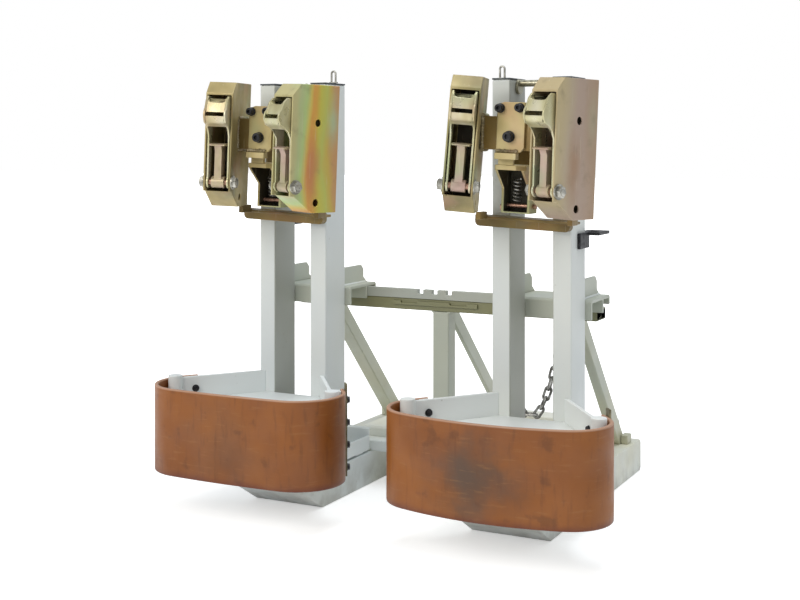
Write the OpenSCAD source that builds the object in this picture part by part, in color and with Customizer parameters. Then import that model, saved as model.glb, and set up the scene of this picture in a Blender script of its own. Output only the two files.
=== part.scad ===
// Twin drum clamp that a fork lift truck carries on its two forks.
// X runs across the two clamp units, -Y is the side that the drums stand on, Z is up.
// Lengths are in millimetres and y = 0 of the working frame is the front face of the posts.

/* [Base frame] */
// Distance between the middles of the two clamp units
unit_pitch = 650; // [620:1:660]
// Distance from the middle of the base to the inner side of a fork pocket
pocket_inset = 200; // [180:1:210]
// Outer width of a fork pocket
pocket_w = 196; // [170:1:215]
// Outer height of a fork pocket
pocket_h = 86; // [74:1:96]
// Wall of a fork pocket
pocket_wall = 8; // [5:0.5:10]
// Rear end of the fork pockets, behind the posts
pocket_back = 656; // [640:1:760]
// Front end of the fork pockets, ahead of the posts
pocket_front = 150; // [120:1:170]
// Height of the sled nose of a fork pocket
nose_h = 54; // [40:1:58]
// Length of the sled nose of a fork pocket
nose_len = 91; // [60:1:100]
// Half length of the notched rail
rail_half = 430; // [425:1:436]
// Underside of the beam
beam_z = 466; // [430:1:480]
// Height of the beam
beam_h = 30; // [24:1:34]
// Depth of the beam
beam_d = 66; // [62:1:72]
// Height of the notched rail above the beam
rail_h = 25; // [20:1:30]
// Thickness of the notched rail
rail_t = 15; // [10:1:18]
// Front face of the rail, behind the front of the posts
rail_y = 195; // [192:1:200]
// Width of a rail notch
notch_w = 15; // [12:1:18]
// Depth of a rail notch
notch_d = 12; // [8:1:14]
// Spacing of the rail notches
notch_pitch = 40.5; // [34:0.5:46]
// Width of the centre column
column_w = 45; // [36:1:54]
// Height of the middle cross box
box_h = 55; // [46:1:64]

/* [Clamp unit] */
// Width of a post
post_w = 46; // [38:1:50]
// Depth of a post
post_d = 100; // [95:1:105]
// Wall of a post
post_wall = 5; // [3:0.5:8]
// Clear gap between the two posts
post_gap = 105; // [102:1:116]
// Height of the post tops above the ground
post_top = 1050; // [1000:1:1200]
// Half width of the foot tray
tray_half = 125; // [115:1:135]
// Underside of the hook plate, which rests above the rail
hook_z = 521.5; // [521.5:0.5:530]
// Length of the hook channel along the rail
hook_len = 226; // [200:1:226]
// Thickness of the hook plates
hook_t = 8; // [6:0.5:9]

/* [Belt cradle] */
// Bottom edge of the belts
belt_z = 103; // [100:1:110]
// Height of the belts
belt_h = 208.5; // [180:0.5:220]
// Thickness of the belts
belt_t = 9; // [6:0.5:11]
// Half distance between the corner posts of a cradle
block_x = 225.5; // [222:0.5:230]
// Distance of the corner posts ahead of the posts
block_y = 190.5; // [180:0.5:196]
// Radius of the corner posts
block_r = 17.5; // [14:0.5:19]
// Splay of the arms
arm_splay = 36; // [33:1:38]
// Thickness of the arms
arm_t = 10; // [8:1:12]
// Distance of the belt ends outside the middle of the arms
belt_off = 27.6; // [24:0.1:30]
// Half distance between the bends of the left belt
left_bend_x = 145; // [140:1:150]
// Inner radius of the bends of the left belt
left_bend_r = 99; // [98:1:104]
// Slope of the front of the left belt beside its bends
left_slope = 3.7; // [2:0.1:16]
// Half distance between the bends of the right belt
right_bend_x = 160; // [150:1:165]
// Inner radius of the bends of the right belt
right_bend_r = 90; // [86:1:96]
// Slope of the front of the right belt beside its bends
right_slope = 16.5; // [4:0.1:20]

/* [Gripping head] */
// Height of the middle of the head
head_z = 900; // [880:1:905]
// Sideways offset of the head from the middle of its posts
head_x = 26; // [18:1:28]
// Tilt of the head as it hangs in its guides
head_tilt = 2.4; // [0:0.2:2.6]
// Half distance between the rear ends of the two housings
cassette_x = 136; // [132:1:142]
// Distance of the rear of the housings ahead of the posts
cassette_y = 88; // [86:1:94]
// Toe-in of the two housings
toe_in = 17; // [14:0.5:18]
// Outer width of a housing
house_w = 68; // [66:1:76]
// Plate thickness of a housing
house_t = 4; // [3:0.5:5]
// Outer width of a beak
beak_w = 56; // [50:1:57]
// Plate thickness of a beak
beak_t = 5; // [4:0.5:6]
// Extra lean of the inner housing of the right hand head
inner_lean = 2.6; // [0:0.2:2.8]
// Diameter of a pivot bolt
pivot_d = 16; // [12:1:18]
// Width of the jaw flange
jaw_w = 40; // [34:1:44]
// Width of the jaw stem
stem_w = 18; // [14:1:24]

/* [Hidden] */
$fn = 48;

paint = "#e6eae6";
zinc = "#b9a66a";
steel = "#6f7276";
black = "#26262a";
rubber = "#a8642f";

// Clearances
weld_gap = 0.2;
slide_gap = 0.5;
bore_gap = 0.1;
soft_gap = 0.3;

// Shared heights and faces
half_pitch = unit_pitch / 2;
post_inner = post_gap / 2;
post_outer = post_inner + post_w;
beam_y = rail_y + 3;
beam_top = beam_z + beam_h;
column_y = beam_y;
front_bar_y = column_y - 2;
front_bar_d = column_w + 2;
front_bar_h = 28;
box_x = 250;
box_d = 140;
box_y = front_bar_y + front_bar_d;
rear_tube_y = 575;
rear_tube_d = 70;
rear_tube_h = 50;
beam_half = rail_half - 10;

// Head shape, measured along a housing from its rear and from the middle of the head
house_back = -6;
house_reach = 155;
house_top = 145;
house_bottom = 160;
top_bevel_y = 25;
top_bevel_z = 27;
low_bevel_y = 57;
low_bevel_z = 40;
low_lip = 13;
pivot_y = 139;
pivot_z = -98;
eye_r = 15;
washer_r = 17;
washer_t = 3;
bolt_head_h = 10;
side_hole_r = 8.8;
side_hole_y = 72;
side_hole_top = 54;
side_hole_low = -136;
nose_reach = 192;
carriage_half = 44;
bridge_low = -16;
bridge_high = 58;
bridge_front = 178;
bridge_wall = 8;

// The origin lies under the middle of the outline, between the beaks and the pocket ends
nose_z = 64;
lean_reach = (house_top - nose_z) * sin(inner_lean);
beak_reach = cassette_y + cos(toe_in) * nose_reach + sin(toe_in) * (beak_w / 2 + lean_reach);
front_reach = max(beak_reach, belt_reach(-1), belt_reach(1));
origin_y = (pocket_back - front_reach) / 2;

module in_base() {
    translate([0, -origin_y, 0])
        children();
}

module in_unit(side) {
    translate([side * half_pitch, -origin_y, 0])
        children();
}

module in_head(side) {
    in_unit(side)
        translate([head_x, 0, head_z])
            rotate([0, head_tilt, 0])
                children();
}

// The lean turns a housing about its top, so that only its foot moves out
function lean(side, hand) = side > 0 && hand < 0 ? inner_lean : 0;

module in_cassette(side, hand) {
    in_head(side)
        translate([hand * cassette_x, -cassette_y, house_top])
            rotate([0, 0, -hand * toe_in])
                rotate([0, lean(side, hand), 0])
                    translate([0, 0, -house_top])
                        children();
}

// A profile drawn in y and z, made as wide as given and centred on x
module across(width) {
    translate([-width / 2, 0, 0])
        rotate([90, 0, 90])
            linear_extrude(width)
                children();
}

// A box given by its lowest and highest corners
module block(low, high) {
    translate(low)
        cube(high - low);
}

// A round bar along x
module bar_x(r, length) {
    translate([-length / 2, 0, 0])
        rotate([0, 90, 0])
            cylinder(r = r, h = length);
}

// A fork pocket: a tube with a sled nose and a thin slot above the nose
module fork_pocket(side) {
    wall_rise = pocket_wall * norm([nose_h, nose_len]) / nose_len;
    bevel = 8;
    color(paint)
        in_base()
            translate([side * (pocket_inset + pocket_w / 2), 0, 0])
                difference() {
                    across(pocket_w)
                        polygon([
                            [nose_len - pocket_front, 0],
                            [pocket_back - bevel, 0],
                            [pocket_back, bevel],
                            [pocket_back, pocket_h - bevel],
                            [pocket_back - bevel, pocket_h],
                            [-pocket_front, pocket_h],
                            [-pocket_front, nose_h],
                        ]);
                    across(pocket_w - 2 * pocket_wall)
                        polygon([
                            [nose_len - pocket_front + pocket_wall / 3, pocket_wall],
                            [pocket_back + 1, pocket_wall],
                            [pocket_back + 1, pocket_h - pocket_wall],
                            [-pocket_front - 1, pocket_h - pocket_wall],
                            [-pocket_front - 1, nose_h + wall_rise],
                        ]);
                }
}

// Front bar, middle box and rear tube that tie the pockets together
module cross_members() {
    floor_z = pocket_h + weld_gap;
    front_half = pocket_inset + 55;
    color(paint)
        in_base() {
            block(
                [-front_half, front_bar_y, floor_z],
                [front_half, front_bar_y + front_bar_d - weld_gap, floor_z + front_bar_h]
            );
            difference() {
                across(2 * box_x)
                    polygon([
                        [box_y, floor_z],
                        [box_y + box_d, floor_z],
                        [box_y + box_d, floor_z + box_h],
                        [box_y + 6, floor_z + box_h],
                        [box_y, floor_z + box_h - 6],
                    ]);
                block([-box_x - 1, box_y + 5, floor_z + 5], [box_x + 1, box_y + box_d - 5, floor_z + box_h - 5]);
            }
            difference() {
                block(
                    [left_brace_x + weld_gap, rear_tube_y, floor_z],
                    [right_brace_x - right_brace_w - weld_gap, rear_tube_y + rear_tube_d, floor_z + rear_tube_h]
                );
                block(
                    [left_brace_x, rear_tube_y + 5, floor_z + 5],
                    [right_brace_x, rear_tube_y + rear_tube_d - 5, floor_z + rear_tube_h - 5]
                );
            }
        }
}

module centre_column() {
    low = pocket_h + front_bar_h + 2 * weld_gap;
    color(paint)
        in_base()
            difference() {
                block([-column_w / 2, column_y, low], [column_w / 2, column_y + column_w, beam_z - weld_gap]);
                block(
                    [5 - column_w / 2, column_y + 5, low - 1],
                    [column_w / 2 - 5, column_y + column_w - 5, beam_z + 1]
                );
            }
}

module rail_beam() {
    wall = 5;
    color(paint)
        in_base()
            difference() {
                block([-beam_half, beam_y, beam_z], [beam_half, beam_y + beam_d, beam_top]);
                block(
                    [-beam_half - 1, beam_y + wall, beam_z + wall],
                    [beam_half + 1, beam_y + beam_d - wall, beam_top - wall]
                );
            }
}

module notched_rail() {
    notch_middle = -16;
    low = beam_top + weld_gap;
    top = beam_top + rail_h;
    color(paint)
        in_base()
            difference() {
                block([-rail_half, rail_y, low], [rail_half, rail_y + rail_t, top]);
                for (i = [-1:1])
                    translate([notch_middle + i * notch_pitch, 0, 0])
                        block([-notch_w / 2, rail_y - 1, top - notch_d], [notch_w / 2, rail_y + rail_t + 1, top + 1]);
            }
}

// Slotted strip on the front of the beam
module rail_strip() {
    color(paint)
        in_base()
            difference() {
                block([-135, beam_y - 6, beam_z + 13], [105, beam_y - weld_gap, beam_z + 24]);
                for (x = [-88, 52])
                    block([x - 24, beam_y - 7, beam_z + 18], [x + 24, beam_y + 1, beam_z + 25]);
            }
}

// Braces lean back and down from the beam. Each is given by the x of its right hand side,
// its width, where its upper edge starts and ends, its depth along y and the height of its foot.
left_brace_x = -325;
left_brace_w = 40;
right_brace_x = 365;
right_brace_w = 26;
brace_foot = pocket_h + weld_gap;

module brace(right_x, width, start_y, end_y, depth, wall_y, foot) {
    top = beam_z - weld_gap;
    back = beam_y + beam_d + weld_gap;
    slope = (top - foot) / (end_y - start_y);
    front = max(start_y - depth, wall_y);
    wall_cut = front > start_y - depth ? [[front, top - (front - start_y + depth) * slope]] : [];
    translate([right_x - width / 2, 0, 0])
        across(width)
            polygon(concat(wall_cut, [
                [front, top],
                [back, top],
                [back, top + (start_y - back) * slope],
                [end_y, foot],
                [end_y - depth, foot],
            ]));
}

module braces() {
    column_back = column_y + column_w + weld_gap;
    tube_top = brace_foot + rear_tube_h + weld_gap;
    lug_h = 24;
    color(paint)
        in_base() {
            brace(left_brace_x, left_brace_w, 278, 650, 54, 0, brace_foot);
            brace(right_brace_x, right_brace_w, 280, 611, 50, 0, brace_foot);
            brace(6, 12, 292, 637, 56, column_back, tube_top);
            block(
                [right_brace_x + weld_gap, 568, brace_foot],
                [right_brace_x + 20, 604, brace_foot + lug_h]
            );
            block(
                [left_brace_x - left_brace_w - 20, 604, brace_foot],
                [left_brace_x - left_brace_w - weld_gap, 640, brace_foot + lug_h]
            );
        }
}

// The safety chain hangs in a parabola below the beam. Links that lie across it turn about
// the wire at their ends, so they take the longer steps along it.
chain_y = beam_y + 52;
chain_mid = 227;
chain_low = 204;
chain_rise = 0.0315;
chain_pitch = 27;
chain_wire = 6.5;
chain_in = 9;
chain_side_links = 8;
chain_step = chain_wire + 0.6;

function chain_z(x) = chain_low + chain_rise * x * x;
function chain_chord(i) = chain_pitch + (i % 2 == 0 ? chain_step : -chain_step);
function chain_next(x, guess, chord, turns) =
    let (run = norm([guess - x, chain_z(guess) - chain_z(x)]))
        turns == 0 ? guess : chain_next(x, x + (guess - x) * chord / run, chord, turns - 1);
function chain_xs(i, x) =
    i == chain_side_links ? [x] : concat([x], chain_xs(i + 1, chain_next(x, x + 10, chain_chord(i + 1), 12)));
chain_half = [for (x = chain_xs(0, chain_chord(0) / 2)) [x, chain_z(x)]];
chain_points = concat(
    [for (i = [chain_side_links:-1:0]) [-chain_half[i][0], chain_half[i][1]]],
    chain_half
);

module chain_link() {
    r = chain_wire / 2;
    bend = (chain_in + chain_wire) / 2;
    straight = chain_pitch + chain_step - 2 * bend;
    for (end = [0, 180])
        rotate([0, 0, end])
            translate([straight / 2, 0, 0])
                rotate([0, 0, -90])
                    rotate_extrude(angle = 180, $fn = 24)
                        translate([bend, 0])
                            circle(r, $fn = 16);
    for (hand = [-1, 1])
        translate([-straight / 2, hand * bend, 0])
            rotate([0, 90, 0])
                cylinder(r = r, h = straight, $fn = 16);
}

module safety_chain() {
    color(steel)
        in_base()
            for (i = [0:2 * chain_side_links])
                let (
                    middle = (chain_points[i] + chain_points[i + 1]) / 2,
                    run = chain_points[i + 1] - chain_points[i]
                )
                    translate([chain_mid + middle[0], chain_y, middle[1]])
                        rotate([0, -atan2(run[1], run[0]), 0])
                            rotate([i % 2 == 0 ? 0 : 90, 0, 0])
                                chain_link();
}

// Two lugs under the beam whose holes carry the end links of the chain
module chain_anchors() {
    lug_r = 13;
    lug_t = 6;
    hole_r = 5.5;
    bend = (chain_in + chain_wire) / 2;
    // The inner side of the bend lies this far below its tip at the faces of the lug
    sag = bend - sqrt(pow(chain_in / 2, 2) - pow(lug_t / 2, 2));
    color(paint)
        in_base()
            for (tip = [chain_points[0], chain_half[chain_side_links]])
                let (hole_z = tip[1] - sag - soft_gap + hole_r)
                    translate([chain_mid + tip[0], chain_y, 0])
                        difference() {
                            union() {
                                block([-lug_r, -lug_t / 2, hole_z], [lug_r, lug_t / 2, beam_z - weld_gap]);
                                translate([0, 0, hole_z])
                                    rotate([90, 0, 0])
                                        cylinder(r = lug_r, h = lug_t, center = true);
                            }
                            translate([0, 0, hole_z])
                                rotate([90, 0, 0])
                                    cylinder(r = hole_r, h = lug_t + 2, center = true);
                        }
}

// Foot tray, cradle and posts of one unit
tray_floor = 92;
tray_t = 4;
tray_front = -40;
tray_back = 184;
post_foot = tray_floor + tray_t + weld_gap;
rod_z = post_top - 8;
rod_y = post_d / 2;
rod_r = 8;

module posts(side) {
    color(paint)
        in_unit(side)
            for (hand = [-1, 1])
                translate([hand * (post_inner + post_w / 2), 0, 0])
                    difference() {
                        block([-post_w / 2, 0, post_foot], [post_w / 2, post_d, post_top]);
                        block(
                            [post_wall - post_w / 2, post_wall, post_foot - 1],
                            [post_w / 2 - post_wall, post_d - post_wall, post_top + 1]
                        );
                    }
}

module post_caps(side) {
    cap_t = 4;
    plug_d = 12;
    color(paint)
        in_unit(side)
            for (hand = [-1, 1])
                translate([hand * (post_inner + post_w / 2), 0, 0]) {
                    block([-post_w / 2, 0, post_top + weld_gap], [post_w / 2, post_d, post_top + cap_t]);
                    block(
                        [post_wall + slide_gap - post_w / 2, post_wall + slide_gap, post_top - plug_d],
                        [post_w / 2 - post_wall - slide_gap, post_d - post_wall - slide_gap, post_top + weld_gap]
                    );
                }
}

// Rod between the post tops with a disc welded on at one end, and the ring that hangs on it
ring_wire_r = 2.5;
ring_r = rod_r + soft_gap + ring_wire_r;
spring_x = 12;

module top_rod(side) {
    disc_r = 18;
    disc_t = 7;
    disc_drop = 8;
    color(zinc)
        in_unit(side)
            translate([0, rod_y, rod_z]) {
                bar_x(rod_r, post_gap - 2 * weld_gap);
                translate([disc_t / 2 - post_inner + weld_gap, 0, -disc_drop])
                    bar_x(disc_r, disc_t);
                translate([spring_x, 0, 0])
                    rotate([90, 0, 90])
                        rotate_extrude(angle = 360, $fn = 32)
                            translate([ring_r, 0])
                                circle(ring_wire_r, $fn = 16);
            }
}

// Coil spring between the ring and the pad on top of the head carriage
coil_r = 13;
coil_wire = 4;
carriage_top = 66;
spring_foot = head_z + carriage_top * cos(head_tilt) + (head_x - spring_x + coil_r) * sin(head_tilt) + soft_gap;

module hanger_spring(side) {
    cap_t = 4;
    length = rod_z - ring_r - ring_wire_r - soft_gap - spring_foot;
    color(zinc)
        in_unit(side)
            translate([spring_x, rod_y, spring_foot])
                difference() {
                    cylinder(r = coil_r, h = length);
                    translate([0, 0, -1])
                        cylinder(r = coil_r - coil_wire, h = length - cap_t + 1);
                }
}

// Wire loop on the inner post of each unit
module lifting_eye(side) {
    wire_r = 2.5;
    bend = 6;
    rise = 24;
    foot = post_top + 4 + weld_gap;
    color(steel)
        in_unit(side)
            translate([-side * (post_outer - 6), rod_y, foot]) {
                for (hand = [-1, 1])
                    translate([hand * bend, 0, 0])
                        cylinder(r = wire_r, h = rise, $fn = 24);
                translate([0, 0, rise])
                    rotate([90, 0, 0])
                        rotate_extrude(angle = 180, $fn = 32)
                            translate([bend, 0])
                                circle(wire_r, $fn = 24);
                block([-bend - 4, -5, 0], [bend + 4, 5, 3]);
            }
}

// Bent channel that hangs over the rail, with two gussets up the back of the posts
hook_back = 244;
module hook_channel(side) {
    face = post_d + weld_gap;
    top = hook_z + hook_t;
    leg_back = rail_y - slide_gap;
    lip_low = hook_z - 16;
    face_low = 482;
    leg_low = 490;
    bend = 5;
    gusset_x = post_outer - 10;
    gusset_t = 8;
    gusset_h = 47;
    gusset_y = 219;
    color(paint)
        in_unit(side) {
            across(hook_len)
                polygon([
                    [face, face_low],
                    [face + hook_t, face_low],
                    [face + hook_t, hook_z - 1],
                    [face + hook_t + 1, hook_z],
                    [leg_back - hook_t, hook_z],
                    [leg_back - hook_t, leg_low],
                    [leg_back, leg_low],
                    [leg_back, hook_z],
                    [hook_back - hook_t, hook_z],
                    [hook_back - hook_t, lip_low],
                    [hook_back, lip_low],
                    [hook_back, top - bend],
                    [hook_back - bend, top],
                    [face + bend, top],
                    [face, top - bend],
                ]);
            for (hand = [-1, 1])
                translate([hand * (gusset_x - gusset_t / 2), 0, 0])
                    across(gusset_t)
                        polygon([
                            [face, top + weld_gap],
                            [hook_back - bend, top + weld_gap],
                            [gusset_y, top + 14],
                            [gusset_y, top + gusset_h - 12],
                            [gusset_y - 12, top + gusset_h],
                            [face, top + gusset_h],
                        ]);
        }
}

// Tray that stands on the fork pocket through two runners
module foot_tray(side) {
    rim = tray_rim;
    back_rim = 150;
    runner_z = pocket_h + slide_gap;
    color(paint)
        in_unit(side) {
            difference() {
                block([-tray_half, tray_front, tray_floor], [tray_half, tray_back, rim]);
                block(
                    [tray_t - tray_half, tray_front - 1, tray_floor + tray_t],
                    [tray_half - tray_t, tray_back - tray_t, rim + 1]
                );
            }
            block([-tray_half, tray_back - tray_t, rim - 1], [tray_half, tray_back, back_rim - 6]);
            across(2 * tray_half)
                polygon([
                    [tray_back - tray_t, back_rim - 7],
                    [tray_back, back_rim - 7],
                    [tray_back + 7, back_rim],
                    [tray_back + 2, back_rim],
                    [tray_back - tray_t, back_rim - 4],
                ]);
            for (y = [20, 120])
                block([-tray_half + 6, y, runner_z], [tray_half - 6, y + 40, tray_floor + 0.1]);
        }
}

// The arms splay out from the posts to round corner posts
arm_low = belt_z + 1;
arm_top = 314;
block_top = 320.5;
strip_t = 5;
strip_y = 54;
strip_half = 12;
strip_low = belt_z + 4;
strip_top = 327;
short_top = belt_z + belt_h - 2;

module in_arm(hand) {
    translate([hand * block_x, -block_y, 0])
        rotate([0, 0, hand * arm_splay])
            children();
}

// The lower front of the cradle stays clear of the foot tray
tray_rim = 130;
tray_clear_y = tray_front - 1;

// One arm: a plate back to the post, a corner post and the bar that the end of the belt is clamped to
module cradle_arms(side) {
    reach = 1.2 * block_y / cos(arm_splay);
    color(paint)
        in_unit(side)
            for (hand = [-1, 1])
                difference() {
                    in_arm(hand) {
                        translate([0, 0, belt_z])
                            cylinder(r = block_r, h = block_top - belt_z);
                        block([-arm_t / 2, 0, arm_low], [arm_t / 2, reach, arm_top]);
                        scale([hand, 1, 1])
                            block(
                                [0, strip_y - strip_half, strip_low],
                                [belt_off - soft_gap, strip_y + strip_half, arm_top - 4]
                            );
                    }
                    block([-post_outer - weld_gap, -weld_gap, 0], [post_outer + weld_gap, post_d, post_top]);
                    block([-tray_half - 1, tray_clear_y, 0], [tray_half + 1, post_d, tray_rim + 1]);
                }
}

function arm_inner_x(y) = block_x - (block_y + y) * tan(arm_splay) - (arm_t / 2 + weld_gap) / cos(arm_splay);
function block_inner_x(y) = block_x - (block_y + y) * tan(arm_splay) - (block_r + weld_gap) / cos(arm_splay);

// A shelf reaches from the back to the front between the arms, and narrows beside the corner posts
module shelf(z, thickness, back) {
    front = 1 - block_y;
    step_y = block_r + 1 - block_y;
    translate([0, 0, z])
        linear_extrude(thickness)
            polygon([
                [-arm_inner_x(back), back],
                [-arm_inner_x(step_y), step_y],
                [-block_inner_x(step_y), step_y],
                [-block_inner_x(front), front],
                [block_inner_x(front), front],
                [block_inner_x(step_y), step_y],
                [arm_inner_x(step_y), step_y],
                [arm_inner_x(back), back],
            ]);
}

module cradle_shelves(side) {
    shelf_t = 7;
    color(paint)
        in_unit(side) {
            shelf(belt_z + 4, shelf_t, tray_clear_y);
            shelf(260 - shelf_t, shelf_t, -weld_gap);
        }
}

// The belt runs from one arm, loosely round both corner posts, to the other arm
function arc(middle, r, from, to, steps) =
    [for (i = [0:steps]) let (a = from + (to - from) * i / steps) middle + r * [cos(a), sin(a)]];
function bend_x(side) = side < 0 ? left_bend_x : right_bend_x;
function bend_r(side) = side < 0 ? left_bend_r : right_bend_r;
function front_slope(side) = side < 0 ? left_slope : right_slope;
// Each bend lies so that the belt goes on straight along the outer side of the arm
function bend_y(side) =
    block_y + (bend_r(side) - belt_off - (block_x - bend_x(side)) * cos(arm_splay)) / sin(arm_splay);
// The front is one shallow arc that meets both bends
function front_r(side) = bend_x(side) / sin(front_slope(side));
function belt_reach(side) =
    bend_y(side) + bend_r(side) + belt_t + front_r(side) * (1 - cos(front_slope(side)));
belt_end = strip_y + strip_half + 2;
function belt_line(side, r) =
    let (
        normal = [cos(arm_splay), sin(arm_splay)],
        along = [-normal[1], normal[0]],
        bend = [bend_x(side), -bend_y(side)],
        start = (bend - [block_x, -block_y]) * along,
        half = concat(
            [bend + r * normal + (belt_end - start) * along],
            arc(bend, r, arm_splay, -90 + front_slope(side), 20),
            arc([0, front_r(side) * cos(front_slope(side)) + bend[1]], front_r(side) + r, -90 + front_slope(side), -90, 12)
        )
    )
        concat(half, [for (i = [len(half) - 2:-1:0]) [-half[i][0], half[i][1]]]);

module belt(side) {
    inner = belt_line(side, bend_r(side));
    outer = belt_line(side, bend_r(side) + belt_t);
    color(rubber)
        in_unit(side)
            translate([0, 0, belt_z])
                linear_extrude(belt_h)
                    polygon(concat(outer, [for (i = [len(inner) - 1:-1:0]) inner[i]]));
}

bolt_zs = [for (i = [0:3]) belt_z + 24 + i * (belt_h - 48) / 3];
belt_face = belt_off + belt_t + soft_gap;

// A flat strip clamps each end of the belt to its arm
module belt_strips(side) {
    color(paint)
        in_unit(side)
            for (hand = [-1, 1])
                in_arm(hand)
                    scale([hand, 1, 1])
                        block(
                            [belt_face, strip_y - strip_half, strip_low],
                            [belt_face + strip_t, strip_y + strip_half, hand < 0 ? short_top : strip_top]
                        );
}

module belt_bolts(side) {
    head_r = 9;
    head_h = 7;
    color(black)
        in_unit(side)
            for (hand = [-1, 1])
                in_arm(hand) {
                    for (z = bolt_zs)
                        translate([hand * (belt_face + strip_t + weld_gap + head_h / 2), strip_y, z])
                            bar_x(head_r, head_h);
                    translate([-hand * (arm_t / 2 + weld_gap + head_h / 2), 51, 284])
                        bar_x(head_r, head_h);
                }
}

// Dark grab handle behind the outer post
module grab_handle(side) {
    low = 654;
    high = 691;
    grip_y = 150;
    reach = 34;
    t = 8;
    color(black)
        in_unit(side)
            scale([side, 1, 1]) {
                block([post_outer + weld_gap, 40, low], [post_outer + t, post_d + 6, high]);
                difference() {
                    block([post_outer - 20, post_d + weld_gap, high - t], [post_outer + reach, grip_y + 30, high]);
                    block([post_outer - 6, post_d + 16, high - t - 1], [post_outer + reach - 14, grip_y + 16, high + 1]);
                }
                block([post_outer - 20, post_d + weld_gap, low], [post_outer + t, post_d + 6, high - t]);
            }
}

// Carriage that runs between the posts, with keepers in front of them and behind them
module head_carriage(side) {
    middle = -head_x;
    low = -75;
    high = 60;
    keeper_half = 80;
    keeper_t = 8;
    play = 1.5;
    wall = 6;
    front = -play - keeper_t;
    color(zinc)
        in_head(side)
            translate([middle, 0, 0]) {
                difference() {
                    block([-carriage_half, front, low], [carriage_half, post_d + play + 1, high]);
                    block([wall - carriage_half, front + wall, low - 1], [carriage_half - wall, post_d - wall, high + 1]);
                }
                block([-keeper_half, post_d + play, low], [keeper_half, post_d + play + keeper_t, high]);
                block([-keeper_half + 8, front, low], [keeper_half, -play, high - 4]);
                block([-20, post_d / 2 - 10, high - 0.1], [20 + head_x, post_d / 2 + 10, carriage_top]);
            }
}

function lean_drop(side) = side > 0 ? house_w / 2 * sin(inner_lean) + 0.4 : 0;
function face_x(y) = cassette_x - house_w / 2 / cos(toe_in) - (y - cassette_y) * tan(toe_in) - weld_gap;

// Welded box between the two housings, with the cross bar below it
module head_bridge(side) {
    back = 10;
    bar_front = 25;
    bar_low = -200;
    bar_high = -173;
    flange_front = 60;
    pad_front = 100;
    flange_t = 6;
    pad_t = -house_bottom - weld_gap - bar_high;
    color(zinc)
        in_head(side) {
            translate([0, 0, bridge_low])
                linear_extrude(bridge_high - bridge_low)
                    difference() {
                        polygon([
                            [-60, -back],
                            [-face_x(cassette_y + 4), -cassette_y - 4],
                            [-face_x(bridge_front), -bridge_front],
                            [face_x(bridge_front), -bridge_front],
                            [face_x(cassette_y + 4), -cassette_y - 4],
                            [60, -back],
                        ]);
                        polygon([
                            [bridge_wall - 60, -back - bridge_wall],
                            [bridge_wall - face_x(cassette_y + 4), -cassette_y - 4],
                            [bridge_wall - face_x(bridge_front), bridge_wall - bridge_front],
                            [face_x(bridge_front) - bridge_wall, bridge_wall - bridge_front],
                            [face_x(cassette_y + 4) - bridge_wall, -cassette_y - 4],
                            [60 - bridge_wall, -back - bridge_wall],
                        ]);
                    }
            block([-150, -bar_front, bar_low + 12], [85, -1.5, bar_high]);
            block([-138, -bar_front, bar_low], [73, -1.5, bar_low + 12.1]);
            for (x = [-138, 73])
                translate([x, -bar_front, bar_low + 12])
                    rotate([-90, 0, 0])
                        cylinder(r = 12, h = bar_front - 1.5);
            block([-116, -flange_front, bar_high - flange_t], [110, -bar_front + 0.1, bar_high]);
            for (hand = [-1, 1])
                block(
                    [hand * 110 - 6, -pad_front, bar_high - flange_t],
                    [hand * 110 + 6, -flange_front + 0.1, bar_high + pad_t - (hand < 0 ? lean_drop(side) : 0)]
                );
        }
}

// Front plate of the head with a bent lip at its foot
plate_t = 8;
plate_front = bridge_front + weld_gap + plate_t;
screws = [[-29, 76, 10.5], [17, 78, 10.5], [-6, 14, 13]];

module centre_plate(side) {
    low = -20;
    high = 88;
    color(zinc)
        in_head(side)
            difference() {
                union() {
                    translate([0, -bridge_front - weld_gap, 0])
                        rotate([90, 0, 0])
                            linear_extrude(plate_t)
                                polygon([
                                    [-37, low],
                                    [20, low],
                                    [29, low + 10],
                                    [29, high + 2],
                                    [-20, high + 2],
                                    [-37, high - 4],
                                ]);
                    block([-36, -plate_front - 10, low - 16], [15, -plate_front + plate_t - 1, low - 2]);
                    block([-36, -plate_front, low - 3], [15, -plate_front + plate_t - 1, low + 1]);
                }
                for (s = screws)
                    translate([s[0], -bridge_front + 1, s[1]])
                        rotate([90, 0, 0])
                            cylinder(r = 6.5, h = plate_t + 4);
            }
}

// Three socket head screws
module cap_screws(side) {
    head_h = 15;
    color(black)
        in_head(side)
            for (s = screws)
                translate([s[0], -bridge_front - weld_gap, s[1]])
                    rotate([90, 0, 0])
                        difference() {
                            union() {
                                cylinder(r = 6, h = plate_t + 1);
                                translate([0, 0, plate_t + weld_gap])
                                    cylinder(r = s[2], h = head_h);
                            }
                            translate([0, 0, plate_t + head_h - 8])
                                cylinder(r = s[2] * 0.55, h = 10, $fn = 6);
                        }
}

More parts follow.
